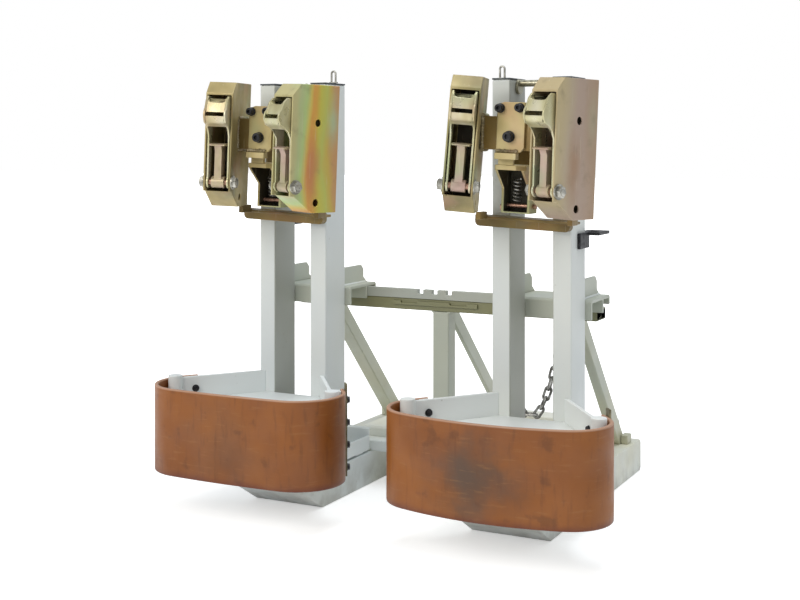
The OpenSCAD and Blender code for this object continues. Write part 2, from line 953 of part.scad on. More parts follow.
// A housing: two side plates, a back, a bevelled top and a bevelled bottom cover
module housing(side, hand) {
    slope = norm([low_bevel_y, low_bevel_z]);
    crown = norm([top_bevel_y, top_bevel_z]);
    knee = -house_reach + low_lip + low_bevel_y;
    lip_z = -house_bottom + low_bevel_z;
    in_cassette(side, hand)
        difference() {
            across(house_w)
                polygon([
                    [house_back, -house_bottom],
                    [knee, -house_bottom],
                    [knee - low_bevel_y, lip_z],
                    [-house_reach, lip_z],
                    [-house_reach, house_top - top_bevel_z],
                    [top_bevel_y - house_reach, house_top],
                    [house_back, house_top],
                ]);
            across(house_w - 2 * house_t)
                polygon([
                    [house_back - house_t, house_t - house_bottom],
                    [knee + house_t * (slope - low_bevel_y) / low_bevel_z, house_t - house_bottom],
                    [knee - low_bevel_y + house_t * slope / low_bevel_z, lip_z],
                    [-house_reach - 1, lip_z],
                    [-house_reach - 1, house_top - top_bevel_z - house_t * crown / top_bevel_y],
                    [-house_reach, house_top - top_bevel_z - house_t * crown / top_bevel_y],
                    [top_bevel_y - house_reach + house_t * (crown - top_bevel_y) / top_bevel_z, house_top - house_t],
                    [house_back - house_t, house_top - house_t],
                ]);
            for (z = [side_hole_top, side_hole_low])
                translate([0, -side_hole_y, z])
                    bar_x(side_hole_r, house_w + 2);
            translate([0, -pivot_y, pivot_z])
                bar_x(pivot_d / 2 + bore_gap, house_w + 2);
        }
}

module housings(side) {
    color(zinc)
        for (hand = [-1, 1])
            housing(side, hand);
}

// Bolt, washers and nut that carry a beak and a jaw
module pivot_bolts(side) {
    end = house_w / 2 + weld_gap;
    color(steel)
        for (hand = [-1, 1])
            in_cassette(side, hand)
                translate([0, -pivot_y, pivot_z]) {
                    bar_x(pivot_d / 2, 2 * end + 2 * washer_t + 2 * bolt_head_h);
                    for (turn = [-1, 1]) {
                        translate([turn * (end + washer_t / 2), 0, 0])
                            bar_x(washer_r, washer_t);
                        translate([turn * (end + washer_t + bolt_head_h / 2), 0, 0])
                            rotate([0, 90, 0])
                                cylinder(r = 14, h = bolt_head_h, center = true, $fn = 6);
                    }
                }
}

// A beak: two cheek plates with a forehead bar and a nose bar between them
module beak_outline() {
    polygon([
        [-128, pivot_z],
        [-128, 96],
        [-142, 110],
        [-166, 110],
        [-176, 100],
        [-190, 66],
        [-186, 46],
        [-172, 40],
        [-160, 30],
        [-152, 14],
        [-150, pivot_z],
    ]);
    translate([-nose_reach + 22, nose_z])
        circle(22);
    translate([-pivot_y, pivot_z])
        circle(eye_r);
}

saddle_z = 95;
saddle_r = 8;

module beak(side, hand) {
    inside = beak_w - 2 * beak_t;
    saddle = inside / 2 - 0.6;
    color(zinc)
        in_cassette(side, hand)
            difference() {
                across(beak_w)
                    beak_outline();
                difference() {
                    across(inside)
                        translate([-house_reach, 0])
                            square([150, 400], center = true);
                    difference() {
                        across(inside + 2)
                            polygon([[-173, 105], [-160, 105], [-172, 71], [-186, 71]]);
                        translate([0, -140, saddle_z])
                            rotate([90, 0, 0])
                                linear_extrude(60)
                                    polygon([
                                        [-saddle, 20],
                                        [-saddle, saddle_r],
                                        [0.3 * saddle_r - saddle, 0.3 * saddle_r],
                                        [saddle_r - saddle, 0],
                                        [saddle - saddle_r, 0],
                                        [saddle - 0.3 * saddle_r, 0.3 * saddle_r],
                                        [saddle, saddle_r],
                                        [saddle, 20],
                                    ]);
                    }
                    across(inside + 2)
                        polygon([
                            [-179, 62],
                            [-189, 62],
                            [-188, 54],
                            [-184, 47],
                            [-176, 41],
                            [-166, 36],
                            [-160, 40],
                            [-169, 46],
                            [-176, 53],
                        ]);
                }
                translate([0, -pivot_y, pivot_z])
                    bar_x(pivot_d / 2 + bore_gap, beak_w + 2);
            }
}

// A jaw: a flange that meets the drum rim from below, on a stem that turns on the pivot bolt
module jaw(side, hand) {
    flange_z = -4;
    flange_t = 6;
    color(zinc)
        in_cassette(side, hand)
            difference() {
                union() {
                    across(jaw_w)
                        polygon([
                            [-112, flange_z - flange_t],
                            [-112, flange_z],
                            [-160, flange_z],
                            [-166, flange_z - 3],
                            [-164, flange_z - flange_t],
                        ]);
                    across(stem_w)
                        polygon([
                            [-126, pivot_z],
                            [-120, flange_z - flange_t + 0.1],
                            [-156, flange_z - flange_t + 0.1],
                            [-150, flange_z - 18],
                            [-150, pivot_z],
                        ]);
                    translate([0, -pivot_y, pivot_z])
                        bar_x(eye_r - 1, stem_w + 14);
                }
                translate([0, -pivot_y, pivot_z])
                    bar_x(pivot_d / 2 + bore_gap, beak_w);
            }
}

// Yoke below the centre plate: open to the front, with cheeks that step back under a flange
yoke_left = -43;
yoke_right = 25.5;
pin_y = -105;
pin_z = -141;

module yoke(side) {
    t = 7;
    low = -157;
    back = -82;
    flange_low = -60;
    flange_high = -49;
    flange_y = -173;
    cheek_y = -128;
    color(zinc)
        in_head(side)
            difference() {
                union() {
                    block([-36, flange_y + 0.5, flange_high - 1], [0, flange_y + 8, bridge_low - weld_gap]);
                    translate([0, 0, flange_low])
                        linear_extrude(flange_high - flange_low)
                            polygon([
                                [yoke_left, flange_y],
                                [7, flange_y],
                                [yoke_right, flange_y + 16],
                                [yoke_right, back],
                                [yoke_left, back],
                            ]);
                    for (x = [yoke_left, yoke_right - t])
                        translate([x + t / 2, 0, 0])
                            across(t)
                                polygon([
                                    [flange_y + 1, flange_low],
                                    [cheek_y, -101],
                                    [cheek_y, low],
                                    [back, low],
                                    [back, flange_low + 1],
                                    [flange_y + 16, flange_low + 1],
                                    [flange_y + 16, flange_low],
                                ]);
                    block([yoke_left, cheek_y, low], [yoke_right, back, low + 4]);
                    block([yoke_left, back - t, low], [yoke_right, back, flange_low + 1]);
                }
                translate([(yoke_left + yoke_right) / 2, pin_y, pin_z])
                    bar_x(5 + bore_gap, yoke_right - yoke_left + 2);
            }
}

// Copper coloured cross pin with a small cam lever on its left end
module yoke_pin(side) {
    lever_t = 6;
    color("#b47a5c")
        in_head(side)
            translate([(yoke_left + yoke_right) / 2, pin_y, pin_z]) {
                bar_x(5, yoke_right - yoke_left + 2 * lever_t + 4);
                translate([(yoke_left - yoke_right - lever_t) / 2 - 1, 0, 0])
                    across(lever_t)
                        polygon([[-10, -12], [6, -10], [12, 2], [8, 16], [-2, 14], [-4, 4], [-12, 0]]);
            }
}

fork_pocket(-1);  // left_fork_pocket
fork_pocket(1);  // right_fork_pocket
cross_members();
centre_column();
rail_beam();
notched_rail();
rail_strip();
braces();
safety_chain();
chain_anchors();
posts(-1);  // left_posts
post_caps(-1);  // left_post_caps
top_rod(-1);  // left_top_rod
hanger_spring(-1);  // left_hanger_spring
lifting_eye(-1);  // left_lifting_eye
hook_channel(-1);  // left_hook_channel
foot_tray(-1);  // left_foot_tray
cradle_arms(-1);  // left_cradle_arms
cradle_shelves(-1);  // left_cradle_shelves
belt(-1);  // left_belt
belt_strips(-1);  // left_belt_strips
belt_bolts(-1);  // left_belt_bolts
grab_handle(-1);  // left_grab_handle
head_carriage(-1);  // left_head_carriage
head_bridge(-1);  // left_head_bridge
centre_plate(-1);  // left_centre_plate
cap_screws(-1);  // left_cap_screws
housings(-1);  // left_housings
pivot_bolts(-1);  // left_pivot_bolts
beak(-1, -1);  // left_outer_beak
beak(-1, 1);  // left_inner_beak
jaw(-1, -1);  // left_outer_jaw
jaw(-1, 1);  // left_inner_jaw
yoke(-1);  // left_yoke
yoke_pin(-1);  // left_yoke_pin
posts(1);  // right_posts
post_caps(1);  // right_post_caps
top_rod(1);  // right_top_rod
hanger_spring(1);  // right_hanger_spring
lifting_eye(1);  // right_lifting_eye
hook_channel(1);  // right_hook_channel
foot_tray(1);  // right_foot_tray
cradle_arms(1);  // right_cradle_arms
cradle_shelves(1);  // right_cradle_shelves
belt(1);  // right_belt
belt_strips(1);  // right_belt_strips
belt_bolts(1);  // right_belt_bolts
grab_handle(1);  // right_grab_handle
head_carriage(1);  // right_head_carriage
head_bridge(1);  // right_head_bridge
centre_plate(1);  // right_centre_plate
cap_screws(1);  // right_cap_screws
housings(1);  // right_housings
pivot_bolts(1);  // right_pivot_bolts
beak(1, 1);  // right_outer_beak
beak(1, -1);  // right_inner_beak
jaw(1, 1);  // right_outer_jaw
jaw(1, -1);  // right_inner_jaw
yoke(1);  // right_yoke
yoke_pin(1);  // right_yoke_pin
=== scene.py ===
import logging
import math
from dataclasses import dataclass, field
from enum import Enum
from functools import partial
from typing import Any, Callable, Sequence

import bmesh
import bpy
from mathutils import Euler, Matrix, Vector, noise


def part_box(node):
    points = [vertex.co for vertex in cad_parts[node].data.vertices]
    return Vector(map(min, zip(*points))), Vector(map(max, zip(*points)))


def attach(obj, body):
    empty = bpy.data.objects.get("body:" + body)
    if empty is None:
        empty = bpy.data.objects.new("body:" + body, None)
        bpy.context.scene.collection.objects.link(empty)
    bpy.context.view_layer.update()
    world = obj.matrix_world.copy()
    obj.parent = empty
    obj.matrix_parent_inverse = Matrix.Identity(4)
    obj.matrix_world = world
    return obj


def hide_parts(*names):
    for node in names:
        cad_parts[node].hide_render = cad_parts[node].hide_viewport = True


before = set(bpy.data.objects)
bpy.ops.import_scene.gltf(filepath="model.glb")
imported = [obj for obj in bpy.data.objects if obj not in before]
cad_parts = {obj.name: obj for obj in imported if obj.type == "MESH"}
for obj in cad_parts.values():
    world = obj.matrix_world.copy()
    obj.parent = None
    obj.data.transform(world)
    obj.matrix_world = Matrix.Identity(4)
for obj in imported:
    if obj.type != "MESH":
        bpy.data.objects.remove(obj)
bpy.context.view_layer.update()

log = logging.getLogger("drum_clamp")

# Millimetres in a metre
MM = 1000
# The front face of the posts is y = 0 in the workshop's own numbers, and the rail stands this far behind it
RAIL_BEHIND = 0.195
FRONT_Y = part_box("notched_rail")[0].y - RAIL_BEHIND
FRAME_AT = Matrix.Translation((0, FRONT_Y, 0))
# Half the distance between the two units, and the inner face of each post from the middle of its unit
PITCH_HALF, POST_INNER = 0.325, 0.0525
# A head's shift and height on its unit, and how far it hangs askew in its guides, in degrees
HEAD_X, HEAD_Z, HEAD_LEAN = 0.026, 0.9, 2.4
# A housing's place on its head, how far it is toed in and how far one of the four leans, in degrees
HOUSING_AT, HOUSING_TOE, HOUSING_LEAN = (0.136, -0.088, 0.145), 17, 2.6
# The round corner post at the end of a cradle arm, and the arm's splay in degrees
ARM_X, ARM_Y, ARM_SPLAY = 0.2255, 0.1905, 36

Colour = tuple[float, float, float, float]
Stops = tuple[tuple[float, str], ...]
Triple = tuple[float, float, float]


class Side(Enum):
    """The two clamp units, seen from the drums' side of the camera."""

    LEFT = -1
    RIGHT = 1

    @property
    def label(self) -> str:
        """The word that the node names of this unit start with."""
        return self.name.lower()


class Hand(Enum):
    """The left-hand and right-hand housing of one head, or arm of one cradle."""

    LEFT = -1
    RIGHT = 1


def linear(code: str) -> Colour:
    """Turns an sRGB hex colour into linear light.

    Args:
        code: six hex digits with a leading hash.

    Returns:
        Red, green, blue and an alpha of one.
    """
    parts = [int(code[i : i + 2], 16) / 255 for i in (1, 3, 5)]
    red, green, blue = (c / 12.92 if c <= 0.04045 else ((c + 0.055) / 1.055) ** 2.4 for c in parts)
    return red, green, blue, 1.0


def add_node(tree: bpy.types.NodeTree, kind: str, props: dict[str, Any] | None = None,
             inputs: dict[Any, Any] | None = None) -> bpy.types.Node:
    """Adds one node with its settings and links.

    Args:
        tree: the shader or geometry tree.
        kind: the node's type name.
        props: properties of the node.
        inputs: what goes into its sockets, by name or number: a value, a socket, a node for that node's
            first output, or a list that has every one of its items linked.

    Returns:
        The new node.
    """
    node = tree.nodes.new(kind)
    for name, value in (props or {}).items():
        setattr(node, name, value)
    for key, value in (inputs or {}).items():
        for source in value if isinstance(value, list) else [value]:
            if isinstance(source, bpy.types.Node):
                source = source.outputs[0]
            if isinstance(source, bpy.types.NodeSocket):
                tree.links.new(source, node.inputs[key])
            else:
                node.inputs[key].default_value = source
    return node


def unit_matrix(side: Side) -> Matrix:
    """The frame of a clamp unit, on the ground below the front of its posts."""
    return Matrix.Translation((side.value * PITCH_HALF, FRONT_Y, 0))


def head_matrix(side: Side) -> Matrix:
    """The frame of a head, which hangs a little askew in its guides.

    Args:
        side: the clamp unit.

    Returns:
        The matrix from head to object coordinates, in metres.
    """
    place = Matrix.Translation((side.value * PITCH_HALF + HEAD_X, FRONT_Y, HEAD_Z))
    return place @ Matrix.Rotation(math.radians(HEAD_LEAN), 4, "Y")


def housing_matrix(side: Side, hand: Hand) -> Matrix:
    """The frame of one housing, toed in, with -Y towards the drum.

    Args:
        side: the clamp unit.
        hand: the housing of its head.

    Returns:
        The matrix from housing to object coordinates, in metres.
    """
    lean = HOUSING_LEAN if side is Side.RIGHT and hand is Hand.LEFT else 0.0
    toe = Matrix.Rotation(math.radians(-HOUSING_TOE * hand.value), 4, "Z")
    turn = toe @ Matrix.Rotation(math.radians(lean), 4, "Y")
    x, y, z = HOUSING_AT
    place = head_matrix(side) @ Matrix.Translation((hand.value * x, y, z))
    return place @ turn @ Matrix.Translation((0, 0, -z))


def arm_matrix(side: Side, hand: Hand) -> Matrix:
    """The frame of a cradle arm, at its round corner post.

    Args:
        side: the clamp unit.
        hand: the arm of its cradle.

    Returns:
        The matrix from arm to object coordinates, in metres.
    """
    place = Matrix.Translation((side.value * PITCH_HALF + hand.value * ARM_X, FRONT_Y - ARM_Y, 0))
    return place @ Matrix.Rotation(math.radians(ARM_SPLAY * hand.value), 4, "Z")


# ---- finishes


class Surface:
    """A material under construction: its tree, its shader, its coordinates and the masks made from them."""

    def __init__(self, name: str, metallic: float, roughness: float) -> None:
        """Starts the material.

        Args:
            name: the material's name.
            metallic: how much of it reflects as bare metal.
            roughness: the even roughness, where no pattern drives it.
        """
        self.material = bpy.data.materials.new(name)
        self.material.use_nodes = True
        self.tree = self.material.node_tree
        self.shader = self.tree.nodes["Principled BSDF"]
        self.shader.inputs["Metallic"].default_value = metallic
        self.shader.inputs["Roughness"].default_value = roughness
        self.place = self.add("ShaderNodeTexCoord").outputs["Object"]
        self.xyz = self.add("ShaderNodeSeparateXYZ", inputs={0: self.place}).outputs

    def add(self, kind: str, props: dict[str, Any] | None = None,
            inputs: dict[Any, Any] | None = None) -> bpy.types.Node:
        """Adds a node to this material's tree."""
        return add_node(self.tree, kind, props, inputs)

    def cloud(self, size: float, detail: float = 3.0, shift: float = 0.0,
              stretch: Triple = (1.0, 1.0, 1.0)) -> bpy.types.NodeSocket:
        """A noise from 0 to 1.

        Args:
            size: the width of a patch, in metres.
            detail: the number of finer layers.
            shift: moves the pattern, so that two noises differ.
            stretch: a factor along each axis, above one for shorter patches.

        Returns:
            The noise's value socket.
        """
        # The shift differs along each axis, so that no pattern repeats another along a diagonal
        at = self.add("ShaderNodeMapping", inputs={"Vector": self.place, "Scale": stretch,
                                                   "Location": (shift, shift * 0.7, shift * 1.3)})
        grain = self.add("ShaderNodeTexNoise", inputs={"Vector": at, "Scale": 0.5 / size, "Detail": detail})
        return grain.outputs["Fac"]

    def waver(self, size: float, depth: float, detail: float = 3.0, shift: float = 0.0) -> bpy.types.Node:
        """A noise from 0 to a depth, which makes a zone's rim wander when it is added to a distance."""
        grain = self.cloud(size, detail, shift)
        return self.add("ShaderNodeMath", {"operation": "MULTIPLY"}, {0: grain, 1: depth})

    def fade(self, values: Sequence[Any], low: float, high: float, start: float = 0.0,
             end: float = 1.0) -> bpy.types.NodeSocket:
        """A mask from the sum of some values.

        Args:
            values: the sockets or nodes to add up.
            low: the sum at which the mask is at its start.
            high: the sum at which it is at its end, with a smooth run between the two.
            start: the mask's first value.
            end: its last value.

        Returns:
            The mask's socket.
        """
        total = values[0]
        for value in values[1:]:
            total = self.add("ShaderNodeMath", {"operation": "ADD"}, {0: total, 1: value})
        node = self.add("ShaderNodeMapRange", {"interpolation_type": "SMOOTHSTEP"},
                        {"Value": total, "From Min": low, "From Max": high, "To Min": start, "To Max": end})
        return node.outputs["Result"]

    def patches(self, size: float, low: float, high: float, start: float = 0.0, end: float = 1.0,
                **pattern: Any) -> bpy.types.NodeSocket:
        """A mask of soft patches: a cloud, given by its size and pattern, that fades from start to end."""
        return self.fade([self.cloud(size, **pattern)], low, high, start, end)

    def bands(self, values: Sequence[Any], low: float, high: float, stops: Stops) -> bpy.types.NodeSocket:
        """Colours the sum of some values, from low to high, by hex stops.

        Args:
            values: the sockets or nodes to add up.
            low: the sum at the first stop.
            high: the sum at the last stop.
            stops: the places and colours.

        Returns:
            The colour's socket.
        """
        node = self.add("ShaderNodeValToRGB", inputs={"Fac": self.fade(values, low, high)})
        band = node.color_ramp
        while len(band.elements) < len(stops):
            band.elements.new(0.5)
        for element, (place, code) in zip(band.elements, stops):
            element.position = place
            element.color = linear(code)
        return node.outputs["Color"]

    def lay(self, base: Any, coat: Any, *masks: Any) -> bpy.types.NodeSocket:
        """Lays a coat over a base.

        Args:
            base: the colour below, in hex or as a socket.
            coat: the colour on top, in hex or as a socket.
            masks: how much of the coat shows; several are multiplied.

        Returns:
            The colour's socket.
        """
        factor = masks[0]
        for mask in masks[1:]:
            factor = self.add("ShaderNodeMath", {"operation": "MULTIPLY"}, {0: factor, 1: mask})
        under, over = (linear(colour) if isinstance(colour, str) else colour for colour in (base, coat))
        return self.add("ShaderNodeMix", {"data_type": "RGBA"}, {0: factor, 6: under, 7: over}).outputs[2]

    def away(self, value: Any, mark: float) -> bpy.types.Node:
        """The distance of a value from a mark."""
        off = self.add("ShaderNodeMath", {"operation": "SUBTRACT"}, {0: value, 1: mark})
        return self.add("ShaderNodeMath", {"operation": "ABSOLUTE"}, {0: off})

    def oval(self, *axes: tuple[Any, float, float]) -> bpy.types.Node:
        """The distance from the middle of an oval.

        Args:
            axes: two sets of a coordinate, its value in the middle and a factor, larger for a narrower oval.

        Returns:
            The node that gives the distance.
        """
        squares = []
        for value, middle, factor in axes:
            off = self.add("ShaderNodeMath", {"operation": "SUBTRACT"}, {0: value, 1: middle})
            scaled = self.add("ShaderNodeMath", {"operation": "MULTIPLY"}, {0: off, 1: factor})
            squares.append(self.add("ShaderNodeMath", {"operation": "MULTIPLY"}, {0: scaled, 1: scaled}))
        total = self.add("ShaderNodeMath", {"operation": "ADD"}, dict(enumerate(squares)))
        return self.add("ShaderNodeMath", {"operation": "SQRT"}, {0: total})

    def finish(self, colour: bpy.types.NodeSocket, roughness: bpy.types.NodeSocket,
               relief: Sequence[tuple[bpy.types.NodeSocket, float, float]]) -> bpy.types.Material:
        """Ends the material.

        Args:
            colour: its base colour.
            roughness: its roughness.
            relief: height, strength and depth in metres of each layer of bumps, one on top of the other.

        Returns:
            The material.
        """
        bumps: dict[str, Any] = {}
        for height, strength, depth in relief:
            layer = self.add("ShaderNodeBump",
                             inputs={"Height": height, "Strength": strength, "Distance": depth, **bumps})
            bumps = {"Normal": layer}
        for name, source in (("Base Color", colour), ("Roughness", roughness), ("Normal", layer.outputs[0])):
            self.tree.links.new(source, self.shader.inputs[name])
        return self.material


@dataclass(frozen=True)
class Paint:
    """Brushed-on white paint, a little cream where it is sheltered and grey where it was handled."""

    name: str = "white_paint"
    clean: str = "#e3e6e0"
    cool: str = "#dbe1e2"
    cream: str = "#d6d0ad"
    chip: str = "#8f8c7e"
    # Painted shade on the posts' inner faces: its grey, and how strongly it shows
    grease: str = "#888770"
    slide: float = 0.0

    def build(self) -> bpy.types.Material:
        """Makes the paint.

        Returns:
            The material.
        """
        s = Surface(self.name, 0.0, 0.42)
        # Broad drifts from cool to warm white, as on paint that has weathered
        base = s.lay(self.cool, self.clean, s.patches(0.30, 0.35, 0.65, detail=2))
        # Cream where rain does not reach: the rear and the underside of the frame
        base = s.lay(base, self.cream, s.fade([s.xyz["Y"]], -0.02, 0.12),
                     s.patches(0.12, 0.35, 0.75, 0.15, 0.75, shift=3))
        # Low dirt on the pockets
        base = s.lay(base, self.chip, s.fade([s.xyz["Z"]], 0.10, 0.0, 0.0, 0.55),
                     s.patches(0.03, 0.35, 0.7, detail=5, shift=7))
        # Small handling marks
        base = s.lay(base, self.chip, s.patches(0.006, 0.70, 0.78, 0.0, 0.35, detail=4, shift=5))
        if self.slide:
            # Painted shade: a grey film on the posts' inner faces, which lie in shadow
            off = s.away(s.away(s.away(s.xyz["X"], 0.0), PITCH_HALF), POST_INNER)
            base = s.lay(base, self.grease, s.fade([off], 0.0018, 0.0028, self.slide, 0.0))
        return s.finish(base, s.patches(0.05, 0.3, 0.7, 0.36, 0.52, shift=2),
                        [(s.cloud(0.0016, 2), 0.10, 0.0006), (s.cloud(0.03, 2, 9), 0.12, 0.002)])


@dataclass(frozen=True)
class Zinc:
    """Yellow passivated zinc, with the soft rainbow patches that the bath leaves."""

    name: str
    stops: Stops
    patch: float = 0.05
    metallic: float = 0.35
    roughness: float = 0.40
    pink: str = "#c9917e"
    green: str = "#9cb186"
    dull: str = "#7d7058"
    bare: str = "#d9d2b4"

    def build(self) -> bpy.types.Material:
        """Makes the plating.

        Returns:
            The material.
        """
        s = Surface(self.name, self.metallic, self.roughness)
        base = s.bands([s.cloud(self.patch, 2.5, stretch=(1.0, 1.0, 0.55))], 0.28, 0.72, self.stops)
        # Soft pink and green clouds, where the film is a little thicker
        base = s.lay(base, self.pink, s.patches(0.045, 0.50, 0.74, 0.0, 0.35, detail=2, shift=15))
        base = s.lay(base, self.green, s.patches(0.055, 0.50, 0.74, 0.0, 0.5, detail=2, shift=19))
        return s.finish(
            self.stain(s, base),
            s.patches(0.012, 0.3, 0.7, self.roughness - 0.07, self.roughness + 0.10, detail=4, shift=2),
            [(s.cloud(0.0012, 3), 0.08, 0.0004), (s.cloud(0.018, 2, 4), 0.10, 0.0012)])

    def stain(self, s: Surface, base: bpy.types.NodeSocket) -> bpy.types.NodeSocket:
        """Adds dull fingermarks and fine scratches to the film.

        Args:
            s: the material under construction.
            base: the film's colour.

        Returns:
            The stained colour.
        """
        base = s.lay(base, self.dull, s.patches(0.02, 0.55, 0.8, 0.0, 0.45, detail=5, shift=11))
        return s.lay(base, self.bare, s.patches(0.0035, 0.66, 0.72, 0.0, 0.22, detail=2, shift=6,
                                                stretch=(1, 1, 0.06)))


@dataclass(frozen=True)
class RainbowSide(Zinc):
    """Plating whose right-hand housing shows long upright bands, from green at its front to gold."""

    split_x: float = -0.30
    side: Side = Side.LEFT
    bands: Stops = ()
    blush: str = "#c97f5e"
    corner: str = "#aecba6"

    def stain(self, s: Surface, base: bpy.types.NodeSocket) -> bpy.types.NodeSocket:
        """Lays the bands over the film, only on the right-hand housing.

        Args:
            s: the material under construction.
            base: the film's colour.

        Returns:
            The banded colour.
        """
        back = housing_matrix(self.side, Hand.RIGHT).inverted()
        turned = s.add("ShaderNodeMapping", inputs={"Vector": s.place, "Location": back.translation,
                                                    "Rotation": back.to_euler()})
        local = s.add("ShaderNodeSeparateXYZ", inputs={0: turned}).outputs
        # The bands wander a little to both sides as they climb
        sway = s.add("ShaderNodeMath", {"operation": "MULTIPLY_ADD"},
                     {0: s.cloud(0.07, 3, 1, (1, 1, 0.5)), 1: 0.085, 2: -0.0425})
        colour = s.bands([local["Y"], sway], -0.155, -0.006, self.bands)
        # A red blush low in the middle
        rim = s.oval((local["Y"], -0.088, 30), (local["Z"], -0.055, 9))
        colour = s.lay(colour, self.blush, s.fade([rim, s.waver(0.03, 0.9, shift=8)], 1.5, 0.5, 0.0, 0.75))
        # A green patch high at the rear
        rim = s.oval((local["Y"], -0.024, 34), (local["Z"], 0.055, 11))
        colour = s.lay(colour, self.corner, s.fade([rim, s.waver(0.03, 0.8, shift=12)], 1.4, 0.4, 0.0, 0.7))
        only = s.fade([s.xyz["X"]], self.split_x - 0.002, self.split_x + 0.002)
        return Zinc.stain(self, s, s.lay(base, colour, only))


@dataclass(frozen=True)
class Steel:
    """Plain plated or oiled steel with a fine drawn grain."""

    name: str
    light: str
    dark: str
    metallic: float = 0.85
    roughness: float = 0.33

    def build(self) -> bpy.types.Material:
        """Makes the steel.

        Returns:
            The material.
        """
        s = Surface(self.name, self.metallic, self.roughness)
        return s.finish(s.lay(self.dark, self.light, s.patches(0.008, 0.3, 0.7, detail=4)),
                        s.patches(0.004, 0.3, 0.7, self.roughness - 0.08, self.roughness + 0.12, shift=3),
                        [(s.cloud(0.0009, 2), 0.12, 0.0003)])


@dataclass(frozen=True)
class Belting:
    """Satin orange-brown rubber belting, smudged grey where drums have rubbed it."""

    name: str = "belt_rubber"
    light: str = "#98591c"
    mid: str = "#814817"
    dark: str = "#603411"
    smudge: str = "#4f4034"
    scuff: str = "#a5723f"
    drip: str = "#5b3216"
    foot: str = "#5a2016"
    edge: str = "#c39a80"

    def build(self) -> bpy.types.Material:
        """Makes the rubber.

        Returns:
            The material.
        """
        s = Surface(self.name, 0.0, 0.46)
        x, z = s.xyz["X"], s.xyz["Z"]
        film = s.lay(self.mid, self.light, s.patches(0.10, 0.3, 0.7, detail=4))
        # Cloudy dark rubbing marks in the middle of each belt, stronger on the right-hand one
        rim = s.oval((s.away(x, 0.0), 0.315, 7.5), (z, 0.19, 9))
        film = s.lay(film, self.smudge, s.fade([rim, s.waver(0.035, 1.6, 5, 4)], 1.95, 0.75),
                     s.fade([x], -0.1, 0.1, 0.3, 0.85))
        # Long level scuffs, as a turning drum leaves
        film = s.lay(film, self.scuff, s.patches(0.0035, 0.56, 0.72, 0.0, 0.22, detail=5, shift=8,
                                                 stretch=(0.16, 0.16, 1)))
        # Fine upright drips and mottling
        film = s.lay(film, self.drip, s.patches(0.006, 0.52, 0.72, 0.0, 0.30, detail=5, shift=13,
                                                stretch=(1, 1, 0.18)))
        film = s.lay(film, self.dark, s.patches(0.02, 0.60, 0.74, 0.0, 0.5, detail=5, shift=7))
        # A darker lower edge and a paler upper one
        film = s.lay(film, self.foot, s.fade([z, s.waver(0.03, 0.02, shift=2)], 0.132, 0.106, 0.0, 0.85))
        film = s.lay(film, self.edge, s.fade([z], 0.3065, 0.3105, 0.0, 0.85))
        return s.finish(film, s.patches(0.03, 0.3, 0.7, 0.40, 0.58, detail=4, shift=9),
                        [(s.cloud(0.0015, 3), 0.10, 0.0005), (s.cloud(0.012, 3, 3), 0.10, 0.0012)])


ZINC_FILM: Stops = ((0.0, "#91845a"), (0.5, "#b4a26e"), (1.0, "#cdbd8c"))
PALE_FILM: Stops = ((0.0, "#b3a97c"), (0.5, "#cfc99f"), (1.0, "#e2dcc4"))
GOLD_FILM: Stops = ((0.0, "#65532c"), (0.5, "#7d6838"), (1.0, "#957a46"))
BEIGE_FILM: Stops = ((0.0, "#ac9a7e"), (0.4, "#c2ad96"), (0.7, "#baac88"), (1.0, "#c2a89c"))
# Painted shade: the dark film laid on the inner walls of the hollows
HOLLOW_SHADE_FILM: Stops = ((0.0, "#2b261b"), (0.5, "#3c3526"), (1.0, "#4a4230"))
WELD_FILM: Stops = ((0.0, "#6f6449"), (0.4, "#8b7e5f"), (0.7, "#a0957a"), (1.0, "#85705c"))
RAINBOW_BANDS: Stops = (
    (0.0, "#c9c08c"), (0.06, "#bcc690"), (0.17, "#bcd08a"), (0.30, "#dcc765"), (0.42, "#e0a553"),
    (0.575, "#dcab50"), (0.72, "#cdc455"), (0.874, "#c3c467"), (0.96, "#cdb35a"), (1.0, "#c99a6a"))
ROSE_BANDS: Stops = (
    (0.0, "#c4b288"), (0.2, "#bcaa8e"), (0.5, "#b7a08e"), (0.75, "#b59e8c"), (1.0, "#b09479"))


